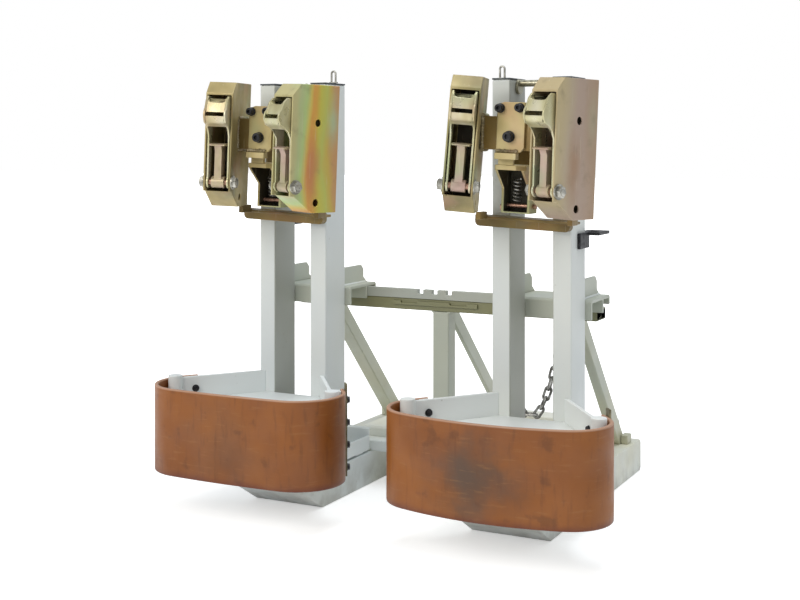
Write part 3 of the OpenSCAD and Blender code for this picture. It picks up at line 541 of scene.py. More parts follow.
class Palette:
    """Every finish of the clamp, made once."""

    def __init__(self) -> None:
        """Makes the materials."""
        # White enamel on tube and plate: cool and clean in front, creamier and duller towards the rear
        self.paint = Paint().build()
        # The posts' paint, with painted shade on their inner faces
        self.post = Paint("post_paint", slide=0.5).build()
        # A lighter copy of the white paint for the tray, cradle and cross members: painted light, as they sit
        # in shade among the posts
        self.tray = Paint("tray_paint", "#f1f4f1", "#eaf0f1", "#e2ddc2").build()
        self.frame = Paint("frame_paint", "#c5c8b9", "#bac0b5", "#b8b28e", "#7a7663").build()
        # A darker copy for the rail: painted shade, as the rail stands in shadow between the posts
        self.rail = Paint("rail_paint", "#b9bcb2", "#aeb4af", "#aaa68a", "#716e5e").build()
        # An olive copy for the beam: painted shade and dirt together
        self.beam = Paint("beam_paint", "#8d8b64", "#84866b", "#878059", "#5d593f").build()
        # Passivated zinc: olive gold on sheet, browner behind, paler where the beaks and jaws rub clean
        self.plate = Zinc("zinc_olive", ZINC_FILM).build()
        self.gold = Zinc("zinc_gold", GOLD_FILM, pink="#8f5f42", green="#76764a").build()
        self.beak = Zinc("zinc_pale", PALE_FILM, patch=0.03, metallic=0.5, roughness=0.32).build()
        self.jaw = Zinc("zinc_beige", BEIGE_FILM, patch=0.03).build()
        # Painted shade inside the hollows, a dark, dull copy of the plating; and the grey-brown skin of a
        # weld
        self.inside = Zinc("zinc_hollow_shade", HOLLOW_SHADE_FILM, metallic=0.2, roughness=0.5, pink="#4a3527",
                           green="#363b29").build()
        self.bead = Zinc("zinc_weld", WELD_FILM, patch=0.012, roughness=0.45).build()
        # The outer sides of the housings: a vivid rainbow on the left head, a faint rose on the right one
        self.rainbow = RainbowSide("zinc_rainbow", ZINC_FILM, metallic=0.25, bands=RAINBOW_BANDS).build()
        self.rose = RainbowSide("zinc_rose", ZINC_FILM, metallic=0.25, split_x=0.35, side=Side.RIGHT,
                                bands=ROSE_BANDS, blush="#a5805f", corner="#b0a688").build()
        # Turned and drawn steel: bright nuts, duller rods and strips, glinting chain, black screw heads and
        # coppered pins
        self.bright = Steel("bright_steel", "#c4c2b9", "#8f8d84").build()
        self.rod = Steel("rod_steel", "#bdbaa6", "#8e8972", 0.7).build()
        self.strip = Steel("strip_steel", "#8d8669", "#645d45", 0.25, 0.5).build()
        self.chain = Steel("chain_steel", "#c0bfba", "#5d5a54", 0.65, 0.28).build()
        self.black = Steel("black_oxide", "#3a3a3d", "#1d1d20", 0.5, 0.42).build()
        self.copper = Steel("copper_pin", "#b8917c", "#826353", 0.7, 0.30).build()
        # Post caps, matt and cool grey
        self.cap = Steel("cap_grey", "#5a6064", "#3f4548", 0.3, 0.5).build()
        # Belting with a satin sheen
        self.belt = Belting().build()


# ---- mesh work

# Degrees above which an edge is drawn hard, or is eased
HARD_EDGE, BELT_EDGE, EASED_EDGE = 32.0, 50.0, 30.0
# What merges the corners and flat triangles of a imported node, in metres and degrees
SAME_POINT, SAME_FACE = 2e-6, 0.4


def show(name: str, data: bpy.types.ID) -> bpy.types.Object:
    """Makes an object out of its data and links it to the scene.

    Args:
        name: the object's name.
        data: its mesh, light or camera.

    Returns:
        The object.
    """
    thing = bpy.data.objects.new(name, data)
    bpy.context.scene.collection.objects.link(thing)
    return thing


def finish_shading(mesh: bpy.types.Mesh, angle: float = HARD_EDGE) -> None:
    """Shades a mesh smooth, with hard edges above an angle in degrees."""
    mesh.polygons.foreach_set("use_smooth", [True] * len(mesh.polygons))
    mesh.set_sharp_from_angle(angle=math.radians(angle))


def put(mesh: bpy.types.Mesh, name: str, body: str, slot: str, nodes: Sequence[str],
        material: bpy.types.Material | None = None) -> bpy.types.Object:
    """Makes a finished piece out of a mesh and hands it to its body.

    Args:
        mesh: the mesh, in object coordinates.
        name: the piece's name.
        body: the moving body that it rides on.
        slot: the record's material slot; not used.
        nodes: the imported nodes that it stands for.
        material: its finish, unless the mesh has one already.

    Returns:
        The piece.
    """
    piece = show(name, mesh)
    if material is not None:
        mesh.materials.clear()
        mesh.materials.append(material)
    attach(piece, body)
    if nodes:
        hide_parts(*nodes)
    log.info("%s: %d faces on %s", name, len(mesh.polygons), body)
    return piece


def baked(thing: bpy.types.Object) -> bpy.types.Mesh:
    """Turns an object with live modifiers into a plain mesh and removes the object.

    Args:
        thing: the object.

    Returns:
        The mesh that its modifiers make.
    """
    graph = bpy.context.evaluated_depsgraph_get()
    mesh = bpy.data.meshes.new_from_object(thing.evaluated_get(graph))
    bpy.data.objects.remove(thing)
    return mesh


def eased(node: str, width: float) -> bpy.types.Mesh:
    """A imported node's shape with eased edges, as folded and dressed sheet has.

    Args:
        node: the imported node.
        width: the width of the easing, in metres.

    Returns:
        A new mesh.
    """
    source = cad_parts[node].data
    mesh = bpy.data.meshes.new(node + "_eased")
    mesh.from_pydata([v.co[:] for v in source.vertices], [], [p.vertices[:] for p in source.polygons])
    work = bmesh.new()
    work.from_mesh(mesh)
    bmesh.ops.remove_doubles(work, verts=work.verts, dist=SAME_POINT)
    bmesh.ops.dissolve_limit(work, angle_limit=math.radians(SAME_FACE), verts=work.verts, edges=work.edges)
    work.to_mesh(mesh)
    work.free()
    thing = show(node + "_work", mesh)
    mesh.polygons.foreach_set("use_smooth", [True] * len(mesh.polygons))
    bevel = thing.modifiers.new("ease", "BEVEL")
    for name, value in {"width": width, "segments": 3, "limit_method": "ANGLE",
                        "angle_limit": math.radians(EASED_EDGE), "use_clamp_overlap": False,
                        "harden_normals": True, "miter_outer": "MITER_ARC"}.items():
        setattr(bevel, name, value)
    return baked(thing)


@dataclass(frozen=True)
class Fastener:
    """The sizes of one kind of bolt, nut or screw head, in metres."""

    sides: int
    radius: float
    height: float
    collar_radius: float
    collar_height: float
    socket_radius: float


@dataclass(frozen=True)
class Coil:
    """The sizes of one wound spring, in metres."""

    turns: float
    radius: float
    top_radius: float
    height: float
    wire: float


@dataclass(frozen=True)
class Link:
    """The sizes of one chain link, in metres."""

    length: float
    width: float
    wire: float


@dataclass(frozen=True)
class Bead:
    """The sizes of one kind of weld bead, in metres."""

    radius: float
    ripple: float
    wander: float


class Trees:
    """Geometry trees with named inputs for what repeats on the clamp."""

    # A head's chamfer, as shares of its height and width, and how high its socket's cutter stands
    CHAMFER_HEIGHT, CHAMFER_WIDTH, SOCKET_LIFT = 0.14, 0.86, 0.62
    # Facets round a collar, a link's wire, its bends, a spring's wire, each of its turns, and a bead
    COLLAR_SIDES, LINK_SIDES, LINK_BEND, WIRE_SIDES, TURN_SIDES, BEAD_SIDES = 40, 14, 9, 12, 28, 10
    # A link's ends are bent to a hair less than half its width, so that the two bends don't meet in one point
    FULL_BEND = 0.4999
    # A bead's steps to a ripple, the fineness of its grain, and how much it swells about its middle thickness
    BEAD_STEPS, BEAD_GRAIN, BEAD_SWELL, BEAD_MIDDLE = 5.0, 90.0, 0.14, 0.55

    def __init__(self) -> None:
        """Builds each tree once."""
        self.trees = {Fastener: self.make_fastener(), Link: self.make_link(), Coil: self.make_coil(),
                      Bead: self.make_bead()}

    @staticmethod
    def start(name: str, *inputs: str) -> tuple[bpy.types.NodeTree, Any, Callable[..., bpy.types.Node]]:
        """A new tree with a geometry input, named sizes and a finish.

        Args:
            name: the tree's name.
            inputs: the name of each size.

        Returns:
            The tree, its inputs by name, and what adds a node to it.
        """
        tree = bpy.data.node_groups.new(name, "GeometryNodeTree")
        tree.interface.new_socket("Geometry", in_out="INPUT", socket_type="NodeSocketGeometry")
        for label in inputs:
            kind = "NodeSocketInt" if label == "Sides" else "NodeSocketFloat"
            tree.interface.new_socket(label, in_out="INPUT", socket_type=kind)
        tree.interface.new_socket("Finish", in_out="INPUT", socket_type="NodeSocketMaterial")
        tree.interface.new_socket("Geometry", in_out="OUTPUT", socket_type="NodeSocketGeometry")
        return tree, tree.nodes.new("NodeGroupInput").outputs, partial(add_node, tree)

    @staticmethod
    def close(tree: bpy.types.NodeTree, shape: Any, given: Any, on_points: bool = True) -> bpy.types.NodeTree:
        """Ends a tree in Realize Instances and Set Material.

        Args:
            tree: the tree.
            shape: the socket or node that gives its shape.
            given: its inputs by name.
            on_points: whether the shape stands on every point, turned by the point's own angles.

        Returns:
            The tree.
        """
        if on_points:
            turn = add_node(tree, "GeometryNodeInputNamedAttribute", {"data_type": "FLOAT_VECTOR"},
                            {"Name": "turn"})
            spin = add_node(tree, "FunctionNodeEulerToRotation", inputs={0: turn})
            shape = add_node(tree, "GeometryNodeInstanceOnPoints",
                             inputs={"Points": given["Geometry"], "Instance": shape, "Rotation": spin})
        real = add_node(tree, "GeometryNodeRealizeInstances", inputs={"Geometry": shape})
        dressed = add_node(tree, "GeometryNodeSetMaterial",
                           inputs={"Geometry": real, "Material": given["Finish"]})
        add_node(tree, "NodeGroupOutput", inputs={0: dressed})
        return tree

    def make_fastener(self) -> bpy.types.NodeTree:
        """A bolt or screw head: a collar, a chamfered head of any number of sides and a socket in it.

        Returns:
            The tree.
        """
        tree, given, add = self.start("fastener", "Sides", "Radius", "Height", "Collar Radius",
                                      "Collar Height", "Socket Radius")
        height, collar_height = given["Height"], given["Collar Height"]
        head = add("GeometryNodeMeshCylinder",
                   inputs={"Vertices": given["Sides"], "Radius": given["Radius"], "Depth": height})
        taper = add("ShaderNodeMath", {"operation": "MULTIPLY"}, {0: height, 1: self.CHAMFER_HEIGHT})
        rim = add("GeometryNodeExtrudeMesh", {"mode": "FACES"},
                  {"Mesh": head, "Selection": head.outputs["Top"], "Offset Scale": taper})
        crown = add("GeometryNodeScaleElements", {"domain": "FACE"},
                    {"Geometry": rim, "Selection": rim.outputs["Top"], "Scale": self.CHAMFER_WIDTH})
        recess = add("GeometryNodeMeshCylinder",
                     inputs={"Vertices": 6, "Radius": given["Socket Radius"], "Depth": height})
        collar = add("GeometryNodeMeshCylinder", inputs={
            "Vertices": self.COLLAR_SIDES, "Radius": given["Collar Radius"], "Depth": collar_height})

        def lift(shape: bpy.types.Node, height_of: bpy.types.Node) -> bpy.types.Node:
            """Lifts a shape along its axis."""
            up = add("ShaderNodeCombineXYZ", inputs={2: height_of})
            return add("GeometryNodeTransform", inputs={"Geometry": shape, "Translation": up})

        socket = lift(recess, add("ShaderNodeMath", {"operation": "MULTIPLY"},
                                  {0: height, 1: self.SOCKET_LIFT}))
        cut = add("GeometryNodeMeshBoolean", {"operation": "DIFFERENCE", "solver": "EXACT"},
                  {"Mesh 1": crown, "Mesh 2": socket})
        raised = lift(cut, add("ShaderNodeMath", {"operation": "MULTIPLY_ADD"},
                               {0: height, 1: 0.5, 2: collar_height}))
        seated = lift(collar, add("ShaderNodeMath", {"operation": "MULTIPLY"}, {0: collar_height, 1: 0.5}))
        whole = add("GeometryNodeJoinGeometry", inputs={0: [raised, seated]})
        return self.close(tree, whole, given)

    def make_link(self) -> bpy.types.NodeTree:
        """A chain link: round wire along a stadium.

        Returns:
            The tree.
        """
        tree, given, add = self.start("chain_link", "Length", "Width", "Wire")
        bend = add("ShaderNodeMath", {"operation": "MULTIPLY"}, {0: given["Width"], 1: self.FULL_BEND})
        box = add("GeometryNodeCurvePrimitiveQuadrilateral", inputs={0: given["Length"], 1: given["Width"]})
        loop = add("GeometryNodeFilletCurve", {"mode": "POLY"},
                   {"Curve": box, "Count": self.LINK_BEND, "Radius": bend, "Limit Radius": True})
        half = add("ShaderNodeMath", {"operation": "MULTIPLY"}, {0: given["Wire"], 1: 0.5})
        ring = add("GeometryNodeCurvePrimitiveCircle", inputs={"Resolution": self.LINK_SIDES, "Radius": half})
        return self.close(tree, add("GeometryNodeCurveToMesh", inputs={0: loop, 1: ring}), given)

    def make_coil(self) -> bpy.types.NodeTree:
        """A wound spring that stands on its point.

        Returns:
            The tree.
        """
        tree, given, add = self.start("wound_spring", "Turns", "Radius", "Top Radius", "Height", "Wire")
        spiral = add("GeometryNodeCurveSpiral", inputs={
            "Resolution": self.TURN_SIDES, "Rotations": given["Turns"], "Start Radius": given["Radius"],
            "End Radius": given["Top Radius"], "Height": given["Height"]})
        half = add("ShaderNodeMath", {"operation": "MULTIPLY"}, {0: given["Wire"], 1: 0.5})
        ring = add("GeometryNodeCurvePrimitiveCircle", inputs={"Resolution": self.WIRE_SIDES, "Radius": half})
        tube = add("GeometryNodeCurveToMesh", inputs={0: spiral, 1: ring, "Fill Caps": True})
        return self.close(tree, tube, given)

    def make_bead(self) -> bpy.types.NodeTree:
        """A weld bead along each edge: overlapping ripples of molten metal.

        Returns:
            The tree.
        """
        tree, given, add = self.start("weld_bead", "Radius", "Ripple", "Wander")
        line = add("GeometryNodeMeshToCurve", inputs={0: given["Geometry"]})
        step = add("ShaderNodeMath", {"operation": "DIVIDE"}, {0: given["Ripple"], 1: self.BEAD_STEPS})
        fine = add("GeometryNodeResampleCurve", {"mode": "LENGTH"}, {"Curve": line, "Length": step})
        grain = add("ShaderNodeTexNoise", {"noise_dimensions": "3D"},
                    {"Scale": self.BEAD_GRAIN, "Detail": 2.0})
        centred = add("ShaderNodeVectorMath", {"operation": "SUBTRACT"},
                      {0: grain.outputs["Color"], 1: (0.5, 0.5, 0.5)})
        moved = add("ShaderNodeVectorMath", {"operation": "SCALE"}, {0: centred, "Scale": given["Wander"]})
        placed = add("GeometryNodeSetPosition", inputs={0: fine, "Offset": moved})
        length = add("GeometryNodeSplineParameter").outputs["Length"]
        turns = add("ShaderNodeMath", {"operation": "DIVIDE"}, {0: length, 1: given["Ripple"]})
        angle = add("ShaderNodeMath", {"operation": "MULTIPLY"}, {0: turns, 1: math.tau})
        wave = add("ShaderNodeMath", {"operation": "SINE"}, {0: angle})
        swell = add("ShaderNodeMath", {"operation": "MULTIPLY_ADD"},
                    {0: wave, 1: self.BEAD_SWELL, 2: self.BEAD_MIDDLE})
        fat = add("ShaderNodeMath", {"operation": "ADD"}, {0: swell, 1: grain.outputs["Fac"]})
        ring = add("GeometryNodeCurvePrimitiveCircle",
                   inputs={"Resolution": self.BEAD_SIDES, "Radius": given["Radius"]})
        tube = add("GeometryNodeCurveToMesh", inputs={0: placed, 1: ring, "Scale": fat, "Fill Caps": True})
        return self.close(tree, tube, given, on_points=False)

    def run(self, seed: bpy.types.Mesh, size: Any, finish: bpy.types.Material) -> bpy.types.Mesh:
        """Runs the tree that a set of sizes belongs to.

        Args:
            seed: points with a turn each, or edges.
            size: a Fastener, Link, Coil or Bead.
            finish: its material.

        Returns:
            The plain mesh that it makes.
        """
        tree = self.trees[type(size)]
        thing = show(tree.name + "_work", seed)
        runner = thing.modifiers.new(tree.name, "NODES")
        runner.node_group = tree
        names = {item.name: item.identifier for item in tree.interface.items_tree
                 if item.item_type == "SOCKET" and item.in_out == "INPUT"}
        runner[names["Finish"]] = finish
        # Each size is the input of the same name
        for label, value in vars(size).items():
            runner[names[label.replace("_", " ").title()]] = value
        mesh = baked(thing)
        finish_shading(mesh)
        return mesh


def seeds(places: Sequence[Matrix]) -> bpy.types.Mesh:
    """Points that each carry the turn of the shape that will stand on them.

    Args:
        places: where each shape stands, with +Z along it.

    Returns:
        The seed mesh.
    """
    mesh = bpy.data.meshes.new("seeds")
    mesh.from_pydata([m.translation[:] for m in places], [], [])
    turn = mesh.attributes.new("turn", "FLOAT_VECTOR", "POINT")
    for item, m in zip(turn.data, places):
        item.vector = m.to_euler("XYZ")[:]
    return mesh


def lines(at: Matrix, runs: Sequence[Sequence[Triple]]) -> bpy.types.Mesh:
    """Edge paths for weld beads.

    Args:
        at: the frame that the points are given in.
        runs: the points of each path, in millimetres.

    Returns:
        The seed mesh.
    """
    points: list[Vector] = []
    edges: list[tuple[int, int]] = []
    for run in runs:
        first = len(points)
        points += [at @ Vector([value / MM for value in point]) for point in run]
        edges += [(first + k, first + k + 1) for k in range(len(run) - 1)]
    mesh = bpy.data.meshes.new("runs")
    mesh.from_pydata(points, edges, [])
    return mesh


def joined(meshes: Sequence[bpy.types.Mesh], name: str) -> bpy.types.Mesh:
    """One mesh out of several, each with its own finish kept.

    Args:
        meshes: the meshes.
        name: the name of the one mesh.

    Returns:
        The mesh.
    """
    things = [show(name + "_part", mesh) for mesh in meshes]
    with bpy.context.temp_override(active_object=things[0], selected_editable_objects=things,
                                   selected_objects=things, object=things[0]):
        bpy.ops.object.join()
    mesh = things[0].data
    bpy.data.objects.remove(things[0])
    mesh.name = name
    return mesh


def aim(at: Matrix, x: float, y: float, z: float, way: str, roll: float = 0.0) -> Matrix:
    """A place in millimetres whose +Z looks along a named way of its frame.

    Args:
        at: the frame.
        x: its x, in millimetres.
        y: its y, in millimetres.
        z: its z, in millimetres.
        way: one of +X, -X, -Y or +Z.
        roll: how far it is turned about its own +Z, in radians.

    Returns:
        The place's matrix.
    """
    turns = {"+X": Euler((0, math.pi / 2, 0)), "-X": Euler((0, -math.pi / 2, 0)),
             "-Y": Euler((math.pi / 2, 0, 0)), "+Z": Euler((0, 0, 0))}
    place = Matrix.Translation((x / MM, y / MM, z / MM)) @ turns[way].to_matrix().to_4x4()
    return at @ place @ Matrix.Rotation(roll, 4, "Z")


# ---- sub-assemblies


@dataclass
class SubAssembly:
    """What every sub-assembly has: the finishes, the geometry trees and the ways to put a piece."""

    palette: Palette
    trees: Trees

    def put_eased(self, node: str, width: float, finish: bpy.types.Material, body: str, slot: str,
                  ending: str = "_made") -> bpy.types.Object:
        """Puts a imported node's shape with eased edges in its place."""
        return put(eased(node, width), node + ending, body, slot, [node], finish)

    def put_welds(self, name: str, body: str, slot: str, at: Matrix, runs: Sequence[Sequence[Triple]],
                  size: Bead, finish: bpy.types.Material) -> None:
        """Puts weld beads along runs of points, given in millimetres in a frame."""
        put(self.trees.run(lines(at, runs), size, finish), name, body, slot, [])


@dataclass
class BaseFrame(SubAssembly):
    """The fork pockets and the frame that carries the rail."""

    # The width of each node's easing, in metres, and its finish
    sheets: dict[str, tuple[float, str]] = field(default_factory=lambda: {
        "left_fork_pocket": (0.003, "paint"), "right_fork_pocket": (0.003, "paint"),
        "cross_members": (0.003, "tray"), "centre_column": (0.004, "frame"), "rail_beam": (0.003, "beam"),
        "notched_rail": (0.0014, "rail"), "rail_strip": (0.0008, "beam"), "braces": (0.003, "frame"),
        "chain_anchors": (0.001, "frame")})
    # The chain, in millimetres: the pitch of its links, how much more or less every other joint is apart, its
    # lowest point, how steeply it rises, where its middle hangs, and the number of joints in each half
    pitch: float = 27.0
    step: float = 7.1
    chain_low: float = 204.0
    chain_rise: float = 0.0315
    chain_at: tuple[float, float] = (227, 250)
    half_joints: int = 9
    link: Link = Link((27.0 + 7.1) / MM, 0.0155, 0.0069)
    bead: Bead = Bead(0.0036, 0.006, 0.0010)

    def build(self) -> None:
        """Makes every piece of the frame."""
        for node, (width, finish) in self.sheets.items():
            self.put_eased(node, width, getattr(self.palette, finish), "base", "white_paint", "_painted")
        self.build_chain()
        self.build_welds()

    def chain_height(self, x: float) -> float:
        """The height of the chain at a distance from its middle."""
        return self.chain_low + self.chain_rise * x * x

    def next_joint(self, x: float, chord: float) -> float:
        """The next joint along the chain.

        Args:
            x: the joint before it.
            chord: how far the two are apart.

        Returns:
            Its x.
        """
        guess = x + 10
        for _ in range(12):
            climb = self.chain_height(guess) - self.chain_height(x)
            guess = x + (guess - x) * chord / math.hypot(guess - x, climb)
        return guess

    def build_chain(self) -> None:
        """Hangs the safety chain, link by link, in a parabola under the beam."""
        half = [(self.pitch + self.step) / 2]
        for i in range(1, self.half_joints):
            half.append(self.next_joint(half[-1], self.pitch + (self.step if i % 2 == 0 else -self.step)))
        xs = [-x for x in reversed(half)] + half
        joints = [Vector((x, self.chain_height(x))) for x in xs]
        middle_x, y = self.chain_at
        places = []
        for i, (a, b) in enumerate(zip(joints, joints[1:])):
            mid, run = (a + b) / 2, b - a
            lean = Matrix.Rotation(-math.atan2(run.y, run.x), 4, "Y")
            roll = Matrix.Rotation(math.radians(90 * (i % 2)), 4, "X")
            place = Matrix.Translation(((middle_x + mid.x) / MM, y / MM, mid.y / MM))
            places.append(FRAME_AT @ place @ lean @ roll)
        mesh = self.trees.run(seeds(places), self.link, self.palette.chain)
        put(mesh, "safety_chain_links", "base", "dark_steel", ["safety_chain"])

    def build_welds(self) -> None:
        """Runs the painted weld beads of the frame."""
        runs: list[list[Triple]] = []
        for side in (-1, 1):
            # Before and behind the front bar, then under the cross box, at the pocket's inner edge and at the
            # end of the box
            for y in (196, 243):
                runs.append([(side * 202, y, 86.5), (side * 254, y, 86.5)])
            for x in (200, 250):
                runs.append([(side * x, 384, 87), (side * x, 250, 87)])
        for x in (-22.5, 22.5):
            # The two sides of the column, at its foot and its top
            runs.append([(x, 199, 114.6), (x, 242, 114.6)])
            runs.append([(x, 200, 465.5), (x, 242, 465.5)])
        runs.append([(-22, 198, 114.6), (22, 198, 114.6)])
        # The tops of the three braces, under the beam
        for x0, x1, y in ((-365, -325, 224), (339, 365, 230), (0, 12, 243.5)):
            runs.append([(x0, y, 465), (x1, y, 465)])
        self.put_welds("frame_weld_beads", "base", "white_paint", FRAME_AT, runs, self.bead,
                       self.palette.frame)


@dataclass(frozen=True)
class BeltCurve:
    """How one belt hangs round its corner posts, in millimetres and degrees."""

    bend_x: float
    bend_r: float
    slope: float


BELT_CURVES = {Side.LEFT: BeltCurve(145.0, 99.0, 3.7), Side.RIGHT: BeltCurve(160.0, 90.0, 16.5)}


@dataclass
class DrumBelt:
    """The belt that a drum leans on, loose round the two corner posts.

    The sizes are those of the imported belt, in millimetres.
    """

    post_x: float = 225.5
    post_y: float = 190.5
    inside: float = 27.6
    thick: float = 9.0
    back: float = 68.0
    splay: float = 36.0
    low: float = 103.0
    high: float = 311.5
    edge: float = 2.6
    # Steps up the belt, along its straight ends, round each bend and along half of its front
    rows: int = 30
    end_steps: int = 8
    bend_steps: int = 24
    front_steps: int = 40
    # The depth of the rubber's waves in metres, their closeness along the belt to the metre and up it to the
    # millimetre, and how far apart the two belts draw them
    wave: float = 0.0006
    wave_x: float = 9.0
    wave_z: float = 0.016
    wave_side: float = 3.0

    def path(self, curve: BeltCurve, offset: float) -> list[Vector]:
        """The belt's line at an offset from its inner face.

        Args:
            curve: the bends and the front of this belt.
            offset: the distance of the line from the inner face.

        Returns:
            The points, in millimetres, from the right-hand end to the left-hand one.
        """
        start = math.radians(self.splay)
        normal = Vector((math.cos(start), math.sin(start)))
        along = Vector((-normal.y, normal.x))
        slope, radius = math.radians(curve.slope), curve.bend_r + offset
        drop = (curve.bend_r - self.inside - (self.post_x - curve.bend_x) * normal.x) / normal.y
        bend = Vector((curve.bend_x, -self.post_y - drop))
        reach = self.back - (bend - Vector((self.post_x, -self.post_y))).dot(along)
        stop = slope - math.pi / 2
        sweep = curve.bend_x / math.sin(slope)
        middle = Vector((0, sweep * math.cos(slope) + bend.y))

        def arc(centre: Vector, size: float, first: float, last: float, share: float) -> Vector:
            """A point part of the way round an arc."""
            angle = first + (last - first) * share
            return centre + size * Vector((math.cos(angle), math.sin(angle)))

        half = [bend + radius * normal + reach * (1 - k / self.end_steps) * along
                for k in range(self.end_steps)]
        half += [arc(bend, radius, start, stop, k / self.bend_steps) for k in range(self.bend_steps + 1)]
        half += [arc(middle, sweep + radius, stop, -math.pi / 2, k / self.front_steps)
                 for k in range(1, self.front_steps + 1)]
        return half + [Vector((-p.x, p.y)) for p in reversed(half[:-1])]

    def section(self) -> list[tuple[float, float]]:
        """The belt's section with rounded corners, out from its middle line and up from its middle height.

        Returns:
            The points, in millimetres, anticlockwise.
        """
        x, z, r = self.thick / 2 - self.edge, (self.high - self.low) / 2 - self.edge, self.edge
        ring: list[tuple[float, float]] = []
        for cx, cz, start in ((x, z, 0), (-x, z, 90), (-x, -z, 180), (x, -z, 270)):
            turns = [math.radians(start + a) for a in (0, 30, 60, 90)]
            ring += [(cx + r * math.cos(turn), cz + r * math.sin(turn)) for turn in turns]
            if start in (90, 270):
                sign = 1 if start == 270 else -1
                ring += [(sign * self.thick / 2, sign * (-z + 2 * z * k / self.rows))
                         for k in range(1, self.rows)]
        return ring

    def build(self, side: Side) -> bpy.types.Mesh:
        """Makes the belt with soft edges and the slight waves of worked rubber.

        Args:
            side: the clamp unit.

        Returns:
            The belt's mesh.
        """
        line, ring = self.path(BELT_CURVES[side], self.thick / 2), self.section()
        mesh = bmesh.new()
        shift = Vector((side.value * PITCH_HALF, FRONT_Y, (self.low + self.high) / 2 / MM))
        rings = []
        for k, p in enumerate(line):
            ahead = line[min(k + 1, len(line) - 1)] - line[max(k - 1, 0)]
            out = Vector((-ahead.y, ahead.x)).normalized()
            verts = []
            for x, z in ring:
                where = Vector((p.x + out.x * x, p.y + out.y * x, z)) / MM + shift
                draw = Vector((where.x * self.wave_x, side.value * self.wave_side, z * self.wave_z))
                proud = self.wave * noise.noise(draw)
                verts.append(mesh.verts.new(where + Vector((out.x, out.y, 0)) * proud))
            rings.append(verts)
        for a, b in zip(rings, rings[1:]):
            for k in range(len(ring)):
                n = (k + 1) % len(ring)
                mesh.faces.new((a[k], a[n], b[n], b[k]))
        mesh.faces.new(rings[0])
        mesh.faces.new(list(reversed(rings[-1])))
        bmesh.ops.recalc_face_normals(mesh, faces=mesh.faces)
        made = bpy.data.meshes.new("belt")
        mesh.to_mesh(made)
        mesh.free()
        finish_shading(made, BELT_EDGE)
        return made


